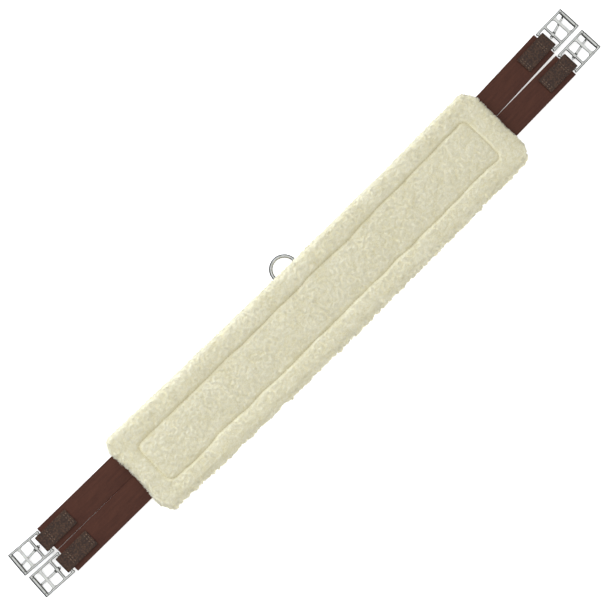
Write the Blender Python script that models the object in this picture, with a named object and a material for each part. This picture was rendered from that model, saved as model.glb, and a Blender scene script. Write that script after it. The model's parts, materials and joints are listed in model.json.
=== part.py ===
"""A long saddle girth: a shaped leather body with a fleece liner, four elastic straps and four roller buckles.

The girth lies flat with its fleece up. +X runs along it, +Y is the front edge, where the ring is, and +Z is up.
The origin is on the outer leather's face, between the two straps of each pair.
Run it with blender --background --python part.py, or from Blender's text editor.
"""

import math

import bmesh
import bpy
from mathutils import Matrix, Vector

MM = 0.001

# Overall sizes
GIRTH_LENGTH = 1118 * MM  # from buckle tip to buckle tip: a 44 inch girth
GAP = 0.3 * MM  # between pieces that touch
ROUND_STEPS = 8  # points on a quarter of a plan corner

# Straps
STRAP_WIDTH = 40 * MM
STRAP_GAP = 1 * MM  # between the two straps of a pair
STRAP_SHOWN = 136.5 * MM  # from the liner to the elastic's end, when the liner lies in the middle
STRAP_SEWN_IN = 50 * MM  # the length of elastic between the leathers
STRAP_EDGE_ROUND = 0.8 * MM

# The body's layers, in the order they are stacked
OUTER_THICK = 3.0 * MM
CORE_THICK = 3.0 * MM  # the elastic and the webbing, side by side in one layer
LINING_THICK = 1.5 * MM
TAPE_THICK = 0.9 * MM
BACKING_THICK = 1.0 * MM
PILE_DEPTH = 14 * MM

# Leather body: how far its edges stand past the straps, and its front edge, cut back at the middle
BODY_PAST_STRAPS_REAR = 17.5 * MM
BODY_PAST_STRAPS_FRONT = 3.5 * MM
CUT_BACK = 12.5 * MM
CUT_BACK_FROM = 50 * MM  # the front edge starts to widen this far from the middle
CUT_BACK_TO = 290 * MM
BODY_CORNER = 12 * MM
LINING_INSET = 2 * MM

# Layers inside the body
WEBBING_WIDTH = 40 * MM
WEBBING_CENTRE_Y = -10 * MM
TAPE_WIDTH = 50 * MM
TAPE_CENTRE_Y = -13 * MM
TAPE_END_MARGIN = 45 * MM  # from the tape's end to the body's

# Fleece liner. It hangs on its tape, a little towards the right end, and its rolled edge stands off
# the leather by more or less along each side: at the left end, the middle and the right end.
LINER_SHIFT = 6 * MM
RIM_WIDTH = 13.5 * MM  # the rolled edge that hangs down round the backing
RIM_LOOSE_FRONT = (6.5 * MM, 1.0 * MM, 3.5 * MM)
RIM_LOOSE_REAR = (4.5 * MM, 10.5 * MM, 7.5 * MM)
RIM_LOOSE_END = 8.5 * MM
RIM_CLEARANCE = 0.5 * MM  # between the rim and the backing
FLEECE_CORNER = 17 * MM
LEAST_CORNER = 2 * MM  # of an outline that runs inside the fleece's
FLEECE_LOW = 1.5 * MM
FLEECE_TOP_ROUND = 10 * MM
FLEECE_LOW_ROUND = 4 * MM
TUNNEL_CLEARANCE = 1 * MM  # round the straps, where they pass under the liner's end

# Buckle frame, measured along it from the bar that the chape goes round
BUCKLE_INNER_WIDTH = 30.4 * MM  # room for the billet
RAIL_WIDTH = 3.4 * MM
RAIL_THICK = 4.6 * MM
RAIL_ROUND = 1.4 * MM
RAIL_END = 3.0 * MM  # how far a rail runs past the chape bar's axis
TONGUE_BAR_AT = 14.2 * MM
MIDDLE_BAR_AT = 33.6 * MM
ROLLER_AT = 47.4 * MM
BAR_RADIUS = 2.0 * MM  # of the chape bar and the tongue bar
MIDDLE_BAR_WIDTH = 4.4 * MM
WEB_THICK = 2.4 * MM  # of the flat web that holds the middle bar
WEB_LOW = -0.8 * MM  # the web's front face, below the bars' axes
WINDOW_CORNER = 3.6 * MM
ROLLER_RADIUS = 3.2 * MM
ROLLER_WALL = 1.3 * MM
ROLLER_CLEARANCE = 0.25 * MM
LUG_WIDTH = 4.6 * MM
LUG_ROUND = 0.9 * MM
BAR_SIDES = 20
ROLLER_SIDES = 24
BUCKLE_PITCH = math.radians(1.6)  # the roller's end lies a little higher, on the tongue's tip

# Tongue
EYE_CLEARANCE = 0.9 * MM  # loose enough for the tongue to lie askew
EYE_WALL = 1.4 * MM
EYE_WIDTH = 4.8 * MM
BLADE_THICK = 2.4 * MM
BLADE_ROOT_WIDTH = 4.0 * MM
BLADE_TIP_WIDTH = 2.6 * MM
BLADE_ROUND = 0.6 * MM
BLADE_PAST_ROLLER = 1.8 * MM
HEEL_REACH = 6.3 * MM
HEEL_WIDTH = 2.8 * MM

# Chape: the leather strip folded round the buckle's bar and sewn to both faces of the elastic
CHAPE_THICK = 2.2 * MM
CHAPE_SIDE_CLEARANCE = 2.2 * MM  # to the buckle's rails
CHAPE_ON_ELASTIC = 46 * MM
CHAPE_SLACK = 1.9 * MM  # how far the bar can slide either way in its fold
CHAPE_RAMP = 4 * MM
FOLD_CLEARANCE = 0.4 * MM
RAIL_TO_ELASTIC = 1.2 * MM  # left between the rails' ends and the elastic as the buckle swings

# Ring and its keeper, on the front edge
RING_INNER_RADIUS = 16.8 * MM
RING_WIRE_RADIUS = 2.5 * MM
RING_SIDES = 40
WIRE_SIDES = 12
RING_LIFT = 0.1 * MM  # between the ring's far side and the surface it lies on
KEEPER_THICK = 1.2 * MM
KEEPER_WIDTH = 14 * MM
KEEPER_SEWN_IN = 20 * MM
KEEPER_SLACK = 1.0 * MM  # room for the ring's wire, which bows across the keeper
KEEPER_RAMP = 5.2 * MM
KEEPER_TO_EDGE = 1.8 * MM  # from the keeper's flat end to the leather's edge
POCKET_CLEARANCE = 3 * MM  # round the ring, under the liner

# How each strap, buckle and tongue lies, turned in the plane of the girth, in degrees
LIE = {
    "left_front": {"end": -1, "side": 1, "strap": -0.4, "buckle": -3.7, "tongue": 7.1},
    "left_rear": {"end": -1, "side": -1, "strap": -0.3, "buckle": -2.7, "tongue": 0.6},
    "right_front": {"end": 1, "side": 1, "strap": 2.4, "buckle": -0.9, "tongue": 14.5},
    "right_rear": {"end": 1, "side": -1, "strap": 1.0, "buckle": 0.7, "tongue": 8.8},
}

# Heights, worked out from the layers
CORE_LOW = OUTER_THICK + GAP
CORE_TOP = CORE_LOW + CORE_THICK
STRAP_Z = (CORE_LOW + CORE_TOP) / 2
LINING_LOW = CORE_TOP + GAP
HOOK_LOW = LINING_LOW + LINING_THICK + GAP
LOOP_LOW = HOOK_LOW + TAPE_THICK + GAP
BACKING_LOW = LOOP_LOW + TAPE_THICK + GAP
RECESS_TOP = BACKING_LOW + BACKING_THICK + GAP
FLEECE_TOP = RECESS_TOP + PILE_DEPTH

# Widths, worked out from the straps and the buckle's inside
STRAP_Y = (STRAP_WIDTH + STRAP_GAP) / 2
STRAPS_EDGE = STRAP_Y + STRAP_WIDTH / 2
BODY_REAR = STRAPS_EDGE + BODY_PAST_STRAPS_REAR
BODY_FRONT_END = STRAPS_EDGE + BODY_PAST_STRAPS_FRONT
BODY_FRONT_MIDDLE = BODY_FRONT_END - CUT_BACK
FLEECE_FRONT = [BODY_FRONT_END + RIM_WIDTH + loose for loose in RIM_LOOSE_FRONT]
FLEECE_REAR = [BODY_REAR + RIM_WIDTH + loose for loose in RIM_LOOSE_REAR]
BUCKLE_WIDTH = BUCKLE_INNER_WIDTH + 2 * RAIL_WIDTH
CHAPE_WIDTH = BUCKLE_INNER_WIDTH - 2 * CHAPE_SIDE_CLEARANCE

# Places along the girth, worked out from its length
ELASTIC_TO_BAR = math.hypot(RAIL_END, RAIL_THICK / 2) + RAIL_TO_ELASTIC
CHAPE_BAR_X = GIRTH_LENGTH / 2 - ROLLER_AT - ROLLER_RADIUS
ELASTIC_END_X = CHAPE_BAR_X - ELASTIC_TO_BAR
FLEECE_LENGTH = 2 * (ELASTIC_END_X - STRAP_SHOWN)
BODY_LENGTH = FLEECE_LENGTH - 2 * (RIM_WIDTH + RIM_LOOSE_END)
TAPE_LENGTH = BODY_LENGTH - 2 * TAPE_END_MARGIN
ELASTIC_ROOT_X = BODY_LENGTH / 2 - STRAP_SEWN_IN
RING_MEAN_RADIUS = RING_INNER_RADIUS + RING_WIRE_RADIUS
RING_BOW = RING_MEAN_RADIUS - math.sqrt(RING_MEAN_RADIUS**2 - (KEEPER_WIDTH / 2) ** 2)
KEEPER_STAND_OFF = KEEPER_SLACK + KEEPER_RAMP + KEEPER_TO_EDGE  # from the edge to the ring's pivot
RING_PIVOT_Y = BODY_FRONT_MIDDLE + KEEPER_STAND_OFF

COLOURS = {
    "outer_leather": ((0.070, 0.028, 0.018), 0.45, 0.0),
    "chape_leather": ((0.062, 0.032, 0.021), 0.60, 0.0),
    "lining_leather": ((0.22, 0.11, 0.055), 0.65, 0.0),
    "elastic": ((0.086, 0.029, 0.020), 0.75, 0.0),
    "webbing": ((0.05, 0.025, 0.018), 0.80, 0.0),
    "tape": ((0.60, 0.56, 0.42), 0.85, 0.0),
    "backing": ((0.66, 0.62, 0.48), 0.90, 0.0),
    "fleece": ((0.76, 0.71, 0.52), 0.95, 0.0),
    "plated_steel": ((0.66, 0.66, 0.63), 0.22, 1.0),
}


def clear_scene():
    """Removes whatever the scene already holds."""
    for obj in list(bpy.data.objects):
        bpy.data.objects.remove(obj)


def material(name):
    """The named finish, made once."""
    found = bpy.data.materials.get(name)
    if found:
        return found
    colour, roughness, metallic = COLOURS[name]
    made = bpy.data.materials.new(name)
    made.use_nodes = True
    shader = made.node_tree.nodes["Principled BSDF"]
    shader.inputs["Base Color"].default_value = (*colour, 1.0)
    shader.inputs["Roughness"].default_value = roughness
    shader.inputs["Metallic"].default_value = metallic
    return made


def mesh_of(bm, name):
    """A mesh made from a bmesh, with its faces pointing out."""
    bmesh.ops.recalc_face_normals(bm, faces=bm.faces)
    mesh = bpy.data.meshes.new(name)
    bm.to_mesh(mesh)
    bm.free()
    return mesh


def place(name, mesh, finish, parent=None, round_angle=None):
    """An object for a sub-part, under its parent."""
    obj = bpy.data.objects.new(name, mesh)
    bpy.context.scene.collection.objects.link(obj)
    obj.parent = parent
    if not mesh.materials:
        mesh.materials.append(material(finish))
    if round_angle is not None:
        mesh.shade_smooth()
        mesh.set_sharp_from_angle(angle=math.radians(round_angle))
    return obj


def empty(name, matrix, parent=None):
    """A parent for pieces that move together, with its origin on their joint."""
    obj = bpy.data.objects.new(name, None)
    obj.empty_display_size = 0.01
    bpy.context.scene.collection.objects.link(obj)
    obj.parent = parent
    obj.matrix_local = matrix
    return obj


def turned(angle, axis):
    """A rotation by an angle in radians."""
    return Matrix.Rotation(angle, 4, axis)


def prism(outline, low, high):
    """A bmesh of a plan outline carried up from one height to another."""
    bm = bmesh.new()
    face = bm.faces.new([bm.verts.new((x, y, low)) for x, y in outline])
    lifted = bmesh.ops.extrude_face_region(bm, geom=[face])["geom"]
    verts = [item for item in lifted if isinstance(item, bmesh.types.BMVert)]
    bmesh.ops.translate(bm, verts=verts, vec=(0, 0, high - low))
    return bm


def block(low, high, rounding=0.0, segments=2):
    """A bmesh box between two corners, with its edges rounded if asked."""
    bm = bmesh.new()
    bmesh.ops.create_cube(bm, size=1.0)
    middle = (Vector(low) + Vector(high)) / 2
    bmesh.ops.scale(bm, verts=bm.verts, vec=Vector(high) - Vector(low))
    bmesh.ops.translate(bm, verts=bm.verts, vec=middle)
    if rounding:
        bmesh.ops.bevel(
            bm,
            geom=list(bm.edges),
            offset=rounding,
            segments=segments,
            profile=0.5,
            affect="EDGES",
        )
    return bm


def round_bar(radius, half_length, along, sides):
    """A bmesh cylinder across the buckle, at a distance along it."""
    bm = bmesh.new()
    bmesh.ops.create_cone(
        bm,
        cap_ends=True,
        segments=sides,
        radius1=radius,
        radius2=radius,
        depth=2 * half_length,
        matrix=Matrix.Translation((along, 0, 0)) @ turned(math.radians(90), "X"),
    )
    return bm


def helper(bm, name):
    """A hidden object that a Boolean reads."""
    obj = bpy.data.objects.new(name, mesh_of(bm, name))
    bpy.context.scene.collection.objects.link(obj)
    obj.hide_render = True
    obj.display_type = "WIRE"
    return obj


def combined(name, joined, cut=()):
    """One mesh from bmeshes that overlap, less the bmeshes in cut."""
    base = helper(joined[0], name)
    others = [("UNION", bm) for bm in joined[1:]] + [("DIFFERENCE", bm) for bm in cut]
    tools = []
    for operation, bm in others:
        tool = helper(bm, f"{name}_{len(tools)}")
        tools.append(tool)
        boolean = base.modifiers.new(tool.name, "BOOLEAN")
        boolean.operation = operation
        boolean.solver = "EXACT"
        boolean.object = tool
    bpy.context.view_layer.update()
    graph = bpy.context.evaluated_depsgraph_get()
    mesh = bpy.data.meshes.new_from_object(base.evaluated_get(graph))
    mesh.name = name
    for obj in [base, *tools]:
        bpy.data.objects.remove(obj)
    return mesh


def corner(centre, radius, start):
    """Points on a quarter circle that turns anticlockwise from an angle in degrees."""
    angles = [math.radians(start + 90 * i / ROUND_STEPS) for i in range(ROUND_STEPS + 1)]
    return [(centre[0] + radius * math.cos(a), centre[1] + radius * math.sin(a)) for a in angles]


def eased(share):
    """0 to 1 with a smooth start and end."""
    share = min(1.0, max(0.0, share))
    return share * share * (3 - 2 * share)


def panel(half_length, front, rear, radius, steps):
    """A plan outline with two long edges, each given as a function of x, and four rounded corners."""
    straight = half_length - radius
    stations = [straight * (2 * i / steps - 1) for i in range(1, steps)]
    points = corner((straight, front(straight) - radius), radius, 0)
    points += [(-x, front(-x)) for x in stations]
    points += corner((-straight, front(-straight) - radius), radius, 90)
    points += corner((-straight, rear(-straight) + radius), radius, 180)
    points += [(x, rear(x)) for x in stations]
    points += corner((straight, rear(straight) + radius), radius, 270)
    return points


def liner_end(end):
    """Where the liner ends, and a strap bends as it comes out from under it: end is -1 or 1."""
    return end * FLEECE_LENGTH / 2 + LINER_SHIFT


def body_outline(inset=0.0):
    """The leather body's plan: a straight rear edge, and a front edge cut back at the middle."""

    def front(x):
        share = (abs(x) - CUT_BACK_FROM) / (CUT_BACK_TO - CUT_BACK_FROM)
        return BODY_FRONT_MIDDLE + (BODY_FRONT_END - BODY_FRONT_MIDDLE) * eased(share) - inset

    def rear(x):
        return -BODY_REAR + inset

    return panel(BODY_LENGTH / 2 - inset, front, rear, BODY_CORNER - inset, 36)


def through_three(values, x):
    """The parabola through the values at the liner's left end, middle and right end."""
    left, middle, right = values
    share = x / (FLEECE_LENGTH / 2)
    return middle + (right - left) / 2 * share + ((left + right) / 2 - middle) * share * share


def fleece_outline(inset=0.0):
    """The fleece liner's plan, or one that runs inside it."""

    def front(x):
        return through_three(FLEECE_FRONT, x) - inset

    def rear(x):
        return inset - through_three(FLEECE_REAR, x)

    radius = max(FLEECE_CORNER - inset, LEAST_CORNER)
    outline = panel(FLEECE_LENGTH / 2 - inset, front, rear, radius, 20)
    return [(x + LINER_SHIFT, y) for x, y in outline]


def make_body():
    """The leather body's layers and the tape that holds the liner on."""
    outer = prism(body_outline(), 0, OUTER_THICK)
    place("outer_leather", mesh_of(outer, "outer_leather"), "outer_leather")
    lining = prism(body_outline(LINING_INSET), LINING_LOW, LINING_LOW + LINING_THICK)
    place("lining_leather", mesh_of(lining, "lining_leather"), "lining_leather")
    half = ELASTIC_ROOT_X - GAP
    rear = WEBBING_CENTRE_Y - WEBBING_WIDTH / 2
    front = WEBBING_CENTRE_Y + WEBBING_WIDTH / 2
    webbing = block((-half, rear, CORE_LOW), (half, front, CORE_TOP))
    place("core_webbing", mesh_of(webbing, "core_webbing"), "webbing")
    rear = TAPE_CENTRE_Y - TAPE_WIDTH / 2
    front = TAPE_CENTRE_Y + TAPE_WIDTH / 2
    half = TAPE_LENGTH / 2
    for name, low, shift in (("hook_tape", HOOK_LOW, 0), ("loop_tape", LOOP_LOW, LINER_SHIFT)):
        tape = block((shift - half, rear, low), (shift + half, front, low + TAPE_THICK))
        place(name, mesh_of(tape, name), "tape")


def edges_at(bm, height):
    """The edges that lie at one height."""
    return [e for e in bm.edges if all(abs(v.co.z - height) < 1e-6 for v in e.verts)]


def fleece_slab():
    """The liner's outer shape, before its hollow is cut."""
    slab = prism(fleece_outline(), FLEECE_LOW, FLEECE_TOP)
    for height, rounding, segments in (
        (FLEECE_TOP, FLEECE_TOP_ROUND, 4),
        (FLEECE_LOW, FLEECE_LOW_ROUND, 2),
    ):
        bmesh.ops.bevel(
            slab,
            geom=edges_at(slab, height),
            offset=rounding,
            segments=segments,
            profile=0.5,
            affect="EDGES",
        )
    return slab


def make_liner():
    """The fleece and the cloth behind it."""
    backing = prism(
        fleece_outline(RIM_WIDTH + RIM_CLEARANCE), BACKING_LOW, BACKING_LOW + BACKING_THICK
    )
    place("liner_backing", mesh_of(backing, "liner_backing"), "backing")
    under = -1 * MM
    hollow = prism(fleece_outline(RIM_WIDTH), under, RECESS_TOP)
    half = STRAPS_EDGE + TUNNEL_CLEARANCE
    tunnel_top = CORE_TOP + TUNNEL_CLEARANCE
    reach = FLEECE_LENGTH / 2 + RIM_WIDTH
    tunnel = block((-reach, -half, under), (reach, half, tunnel_top))
    ring_outer = RING_MEAN_RADIUS + RING_WIRE_RADIUS + POCKET_CLEARANCE
    pocket_front = RING_PIVOT_Y + 2 * ring_outer
    pocket_top = STRAP_Z + RING_WIRE_RADIUS + POCKET_CLEARANCE / 2
    pocket = block((-ring_outer, 0, under), (ring_outer, pocket_front, pocket_top))
    mesh = combined("fleece_liner", [fleece_slab()], [hollow, tunnel, pocket])
    place("fleece_liner", mesh, "fleece", round_angle=40)


def folded_strip(leg, leg_offset, loop_offset, slack, ramp, thick, width):
    """A strip of leather folded round a bar at the origin, with both its legs towards -X.

    Offsets are from the middle plane to the middle of the leather, and the bar can slide by slack.
    """
    path = [(-leg, -leg_offset), (-slack - ramp, -leg_offset), (-slack, -loop_offset)]
    turns = 12
    for i in range(turns + 1):
        a = math.pi * (i / turns - 0.5)
        path.append((slack + loop_offset * math.cos(a), loop_offset * math.sin(a)))
    path += [(-slack, loop_offset), (-slack - ramp, leg_offset), (-leg, leg_offset)]
    points = [Vector(p) for p in path]
    sides = {-1: [], 1: []}
    for i, p in enumerate(points):
        before = (p - points[i - 1]).normalized() if i else None
        after = (points[i + 1] - p).normalized() if i + 1 < len(points) else None
        along = ((before or after) + (after or before)).normalized()
        across = Vector((-along.y, along.x))
        stretch = across.dot(Vector((-(after or before).y, (after or before).x)))
        for side in sides:
            sides[side].append(p + across * (side * thick / 2 / stretch))
    outline = sides[1] + sides[-1][::-1]
    bm = prism(outline, -width / 2, width / 2)
    bmesh.ops.rotate(bm, verts=bm.verts, matrix=turned(math.radians(90), "X"))
    return bm


def chape_mesh():
    """The leather that holds a buckle, about the axis of the buckle's bar."""
    on_elastic = CORE_THICK / 2 + GAP + CHAPE_THICK / 2
    round_bar_offset = BAR_RADIUS + FOLD_CLEARANCE + CHAPE_THICK / 2
    strip = folded_strip(
        leg=ELASTIC_TO_BAR + CHAPE_ON_ELASTIC,
        leg_offset=on_elastic,
        loop_offset=round_bar_offset,
        slack=CHAPE_SLACK,
        ramp=CHAPE_RAMP,
        thick=CHAPE_THICK,
        width=CHAPE_WIDTH,
    )
    return mesh_of(strip, "chape")


def window(low, high, half_width, radius):
    """A cutter for one window of the buckle: a rounded rectangle that runs right through the web."""
    outline = (
        corner((high - radius, half_width - radius), radius, 0)
        + corner((low + radius, half_width - radius), radius, 90)
        + corner((low + radius, -half_width + radius), radius, 180)
        + corner((high - radius, -half_width + radius), radius, 270)
    )
    return prism(outline, WEB_LOW - WEB_THICK, WEB_LOW + 2 * WEB_THICK)


def frame_web():
    """The flat web between the rails, less its windows."""
    inner = BUCKLE_WIDTH / 2 - RAIL_WIDTH
    outer = inner + RAIL_WIDTH / 2
    end = ROLLER_AT - ROLLER_RADIUS - GAP
    middle_low = MIDDLE_BAR_AT - MIDDLE_BAR_WIDTH / 2
    middle_high = MIDDLE_BAR_AT + MIDDLE_BAR_WIDTH / 2
    chape_window = (BAR_RADIUS / 2, TONGUE_BAR_AT - BAR_RADIUS / 2, inner, BAR_RADIUS)
    tongue_window = (TONGUE_BAR_AT + BAR_RADIUS / 2, middle_low, inner, WINDOW_CORNER)
    roller_window = (middle_high, end + 2 * WINDOW_CORNER, inner, WINDOW_CORNER)
    slab = block((0, -outer, WEB_LOW), (end, outer, WEB_LOW + WEB_THICK))
    cutters = [window(*sizes) for sizes in (chape_window, tongue_window, roller_window)]
    web = bmesh.new()
    web.from_mesh(combined("web", [slab], cutters))
    return web


def frame_mesh():
    """The buckle's cast frame: two rails, a web with windows, three bars and the roller's lugs."""
    half = BUCKLE_WIDTH / 2
    parts = [frame_web()]
    for side in (-1, 1):
        inner, outer = sorted((side * (half - RAIL_WIDTH), side * half))
        parts.append(
            block(
                (-RAIL_END, inner, -RAIL_THICK / 2),
                (ROLLER_AT, outer, RAIL_THICK / 2),
                rounding=RAIL_ROUND,
                segments=3,
            )
        )
        lug = round_bar(ROLLER_RADIUS, LUG_WIDTH / 2, ROLLER_AT, ROLLER_SIDES)
        rim = [e for e in lug.edges if e.verts[0].co.y * side > 0 and e.verts[1].co.y * side > 0]
        bmesh.ops.bevel(
            lug, geom=rim, offset=LUG_ROUND, segments=2, profile=0.5, affect="EDGES"
        )
        bmesh.ops.translate(lug, verts=lug.verts, vec=(0, side * (half - LUG_WIDTH / 2), 0))
        parts.append(lug)
    span = half - RAIL_WIDTH / 2
    parts.append(round_bar(BAR_RADIUS, span, 0, BAR_SIDES))
    parts.append(round_bar(BAR_RADIUS, span, TONGUE_BAR_AT, BAR_SIDES))
    axle = ROLLER_RADIUS - ROLLER_WALL - ROLLER_CLEARANCE
    parts.append(round_bar(axle, span, ROLLER_AT, BAR_SIDES))
    return combined("buckle_frame", parts)


def roller_mesh():
    """The tube that turns on the frame's end bar, about its own axis."""
    half = BUCKLE_WIDTH / 2 - LUG_WIDTH - GAP
    tube = round_bar(ROLLER_RADIUS, half, 0, ROLLER_SIDES)
    bore = round_bar(ROLLER_RADIUS - ROLLER_WALL, half + MM, 0, ROLLER_SIDES)
    return combined("roller", [tube], [bore])


def blade(slope, reach, sign, root_width, tip_width):
    """A tapering bar from the eye: a bmesh along +X or -X, dipping by a slope."""
    bm = block((0, -0.5, -BLADE_THICK / 2), (reach, 0.5, BLADE_THICK / 2))
    for v in bm.verts:
        share = v.co.x / reach
        v.co.y *= root_width + (tip_width - root_width) * share
    bmesh.ops.bevel(
        bm, geom=list(bm.edges), offset=BLADE_ROUND, segments=2, profile=0.5, affect="EDGES"
    )
    bmesh.ops.rotate(bm, verts=bm.verts, matrix=turned(slope, "Y"))
    if sign < 0:
        bmesh.ops.rotate(bm, verts=bm.verts, matrix=turned(math.radians(180), "Y"))
    return bm


def tongue_mesh():
    """The tongue, about its bar's axis: an eye, a blade that lies on the roller's front, and a heel."""
    run = ROLLER_AT - TONGUE_BAR_AT
    drop = ROLLER_RADIUS + GAP + BLADE_THICK / 2
    slope = math.asin(drop / math.hypot(run, drop))
    bore_radius = BAR_RADIUS + EYE_CLEARANCE
    eye = round_bar(bore_radius + EYE_WALL, EYE_WIDTH / 2, 0, ROLLER_SIDES)
    bore = round_bar(bore_radius, EYE_WIDTH, 0, BAR_SIDES)
    reach = math.hypot(run, drop) + BLADE_PAST_ROLLER
    front = blade(slope, reach, 1, BLADE_ROOT_WIDTH, BLADE_TIP_WIDTH)
    heel = blade(slope, HEEL_REACH, -1, HEEL_WIDTH, HEEL_WIDTH)
    return combined("tongue", [eye, front, heel], [bore])


def elastic_mesh(name, lie, bend):
    """An elastic strap, straight between the leathers and then lying along its own direction."""
    end, y = lie["end"], lie["side"] * STRAP_Y
    root = Vector((end * ELASTIC_ROOT_X, y))
    middle = bend.to_translation().xy
    along = (bend.to_3x3() @ Vector((1, 0, 0))).xy
    tip = middle + along * (ELASTIC_END_X - abs(middle.x))
    stations = ((root, Vector((end, 0))), (middle, Vector((end, 0)) + along), (tip, along))
    rows = []
    for point, direction in stations:
        direction = direction.normalized()
        across = Vector((-direction.y, direction.x)) * STRAP_WIDTH / 2
        rows.append((point - across, point + across))
    outline = [row[0] for row in rows] + [row[1] for row in reversed(rows)]
    bm = prism(outline, CORE_LOW, CORE_TOP)
    bmesh.ops.bevel(
        bm,
        geom=edges_at(bm, CORE_LOW) + edges_at(bm, CORE_TOP),
        offset=STRAP_EDGE_ROUND,
        segments=2,
        profile=0.5,
        affect="EDGES",
    )
    return mesh_of(bm, name)


def make_strap(name, lie, meshes):
    """One elastic strap with its chape and buckle, each on the joint that it moves about."""
    facing = turned(0 if lie["end"] > 0 else math.pi, "Z")
    bend_x = liner_end(lie["end"])
    at = Matrix.Translation((bend_x, lie["side"] * STRAP_Y, STRAP_Z))
    bend_matrix = at @ facing @ turned(math.radians(lie["strap"]), "Z")
    place(f"{name}_elastic", elastic_mesh(name, lie, bend_matrix), "elastic")
    bend = empty(f"{name}_bend", bend_matrix)
    bar = empty(f"{name}_bar", Matrix.Translation((CHAPE_BAR_X - abs(bend_x), 0, 0)), bend)
    place(f"{name}_chape", meshes["chape"], "chape_leather", bar)
    turn = turned(math.radians(lie["buckle"]), "Z") @ turned(-BUCKLE_PITCH, "Y")
    buckle = empty(f"{name}_swing", turn, bar)
    place(f"{name}_buckle_frame", meshes["frame"], "plated_steel", buckle, 35)
    roller = place(f"{name}_roller", meshes["roller"], "plated_steel", buckle, 35)
    roller.location = (ROLLER_AT, 0, 0)
    tongue = place(f"{name}_tongue", meshes["tongue"], "plated_steel", buckle, 35)
    tongue.location = (TONGUE_BAR_AT, 0, 0)
    tongue.rotation_euler = (0, 0, math.radians(lie["tongue"]))


def make_ring():
    """The ring for a breastplate or martingale, and the leather keeper it swings in."""
    pivot = Matrix.Translation((0, RING_PIVOT_Y, STRAP_Z)) @ turned(math.radians(90), "Z")
    keeper_empty = empty("ring_keeper_place", pivot)
    strip = folded_strip(
        leg=KEEPER_STAND_OFF + KEEPER_SEWN_IN,
        leg_offset=(GAP + KEEPER_THICK) / 2,
        loop_offset=RING_WIRE_RADIUS + RING_BOW / 2 + GAP + KEEPER_THICK / 2,
        slack=KEEPER_SLACK,
        ramp=KEEPER_RAMP,
        thick=KEEPER_THICK,
        width=KEEPER_WIDTH,
    )
    place("ring_keeper", mesh_of(strip, "ring_keeper"), "chape_leather", keeper_empty)
    far = 2 * RING_MEAN_RADIUS - RING_BOW / 2
    drop = math.asin((STRAP_Z - RING_WIRE_RADIUS - RING_LIFT) / far)
    swing = empty("ring_swing", pivot @ turned(drop, "Y"))
    bm = bmesh.new()
    turns = [math.tau * i / WIRE_SIDES for i in range(WIRE_SIDES)]
    section = [(RING_WIRE_RADIUS * math.cos(a), RING_WIRE_RADIUS * math.sin(a)) for a in turns]
    wire = [bm.verts.new((x - RING_BOW / 2, 0, z)) for x, z in section]
    loop = [bm.edges.new((wire[i - 1], wire[i])) for i in range(WIRE_SIDES)]
    bmesh.ops.spin(
        bm,
        geom=wire + loop,
        cent=(RING_MEAN_RADIUS - RING_BOW / 2, 0, 0),
        axis=(0, 0, 1),
        angle=math.tau,
        steps=RING_SIDES,
        use_merge=True,
    )
    place("centre_ring", mesh_of(bm, "centre_ring"), "plated_steel", swing, 60)


def main():
    """Builds the girth."""
    clear_scene()
    make_body()
    make_liner()
    make_ring()
    meshes = {
        "chape": chape_mesh(),
        "frame": frame_mesh(),
        "roller": roller_mesh(),
        "tongue": tongue_mesh(),
    }
    for name, lie in LIE.items():
        make_strap(name, lie, meshes)


main()
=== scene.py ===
"""Looks of a long saddle girth: wool-pile liner, elastic straps, leather chapes and plated roller buckles.

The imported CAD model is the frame. Each class below takes its places from the frame's boxes and joints, builds
its pieces round them and dresses them. +X runs along the girth, +Y is the ring's edge and +Z is up; metres.
"""

from __future__ import annotations

import json
import logging
import math
import sys
from collections.abc import Callable, Iterable, Sequence
from dataclasses import dataclass
from enum import Enum

import bmesh
import bpy
import numpy as np
from mathutils import Matrix, Vector, noise

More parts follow.
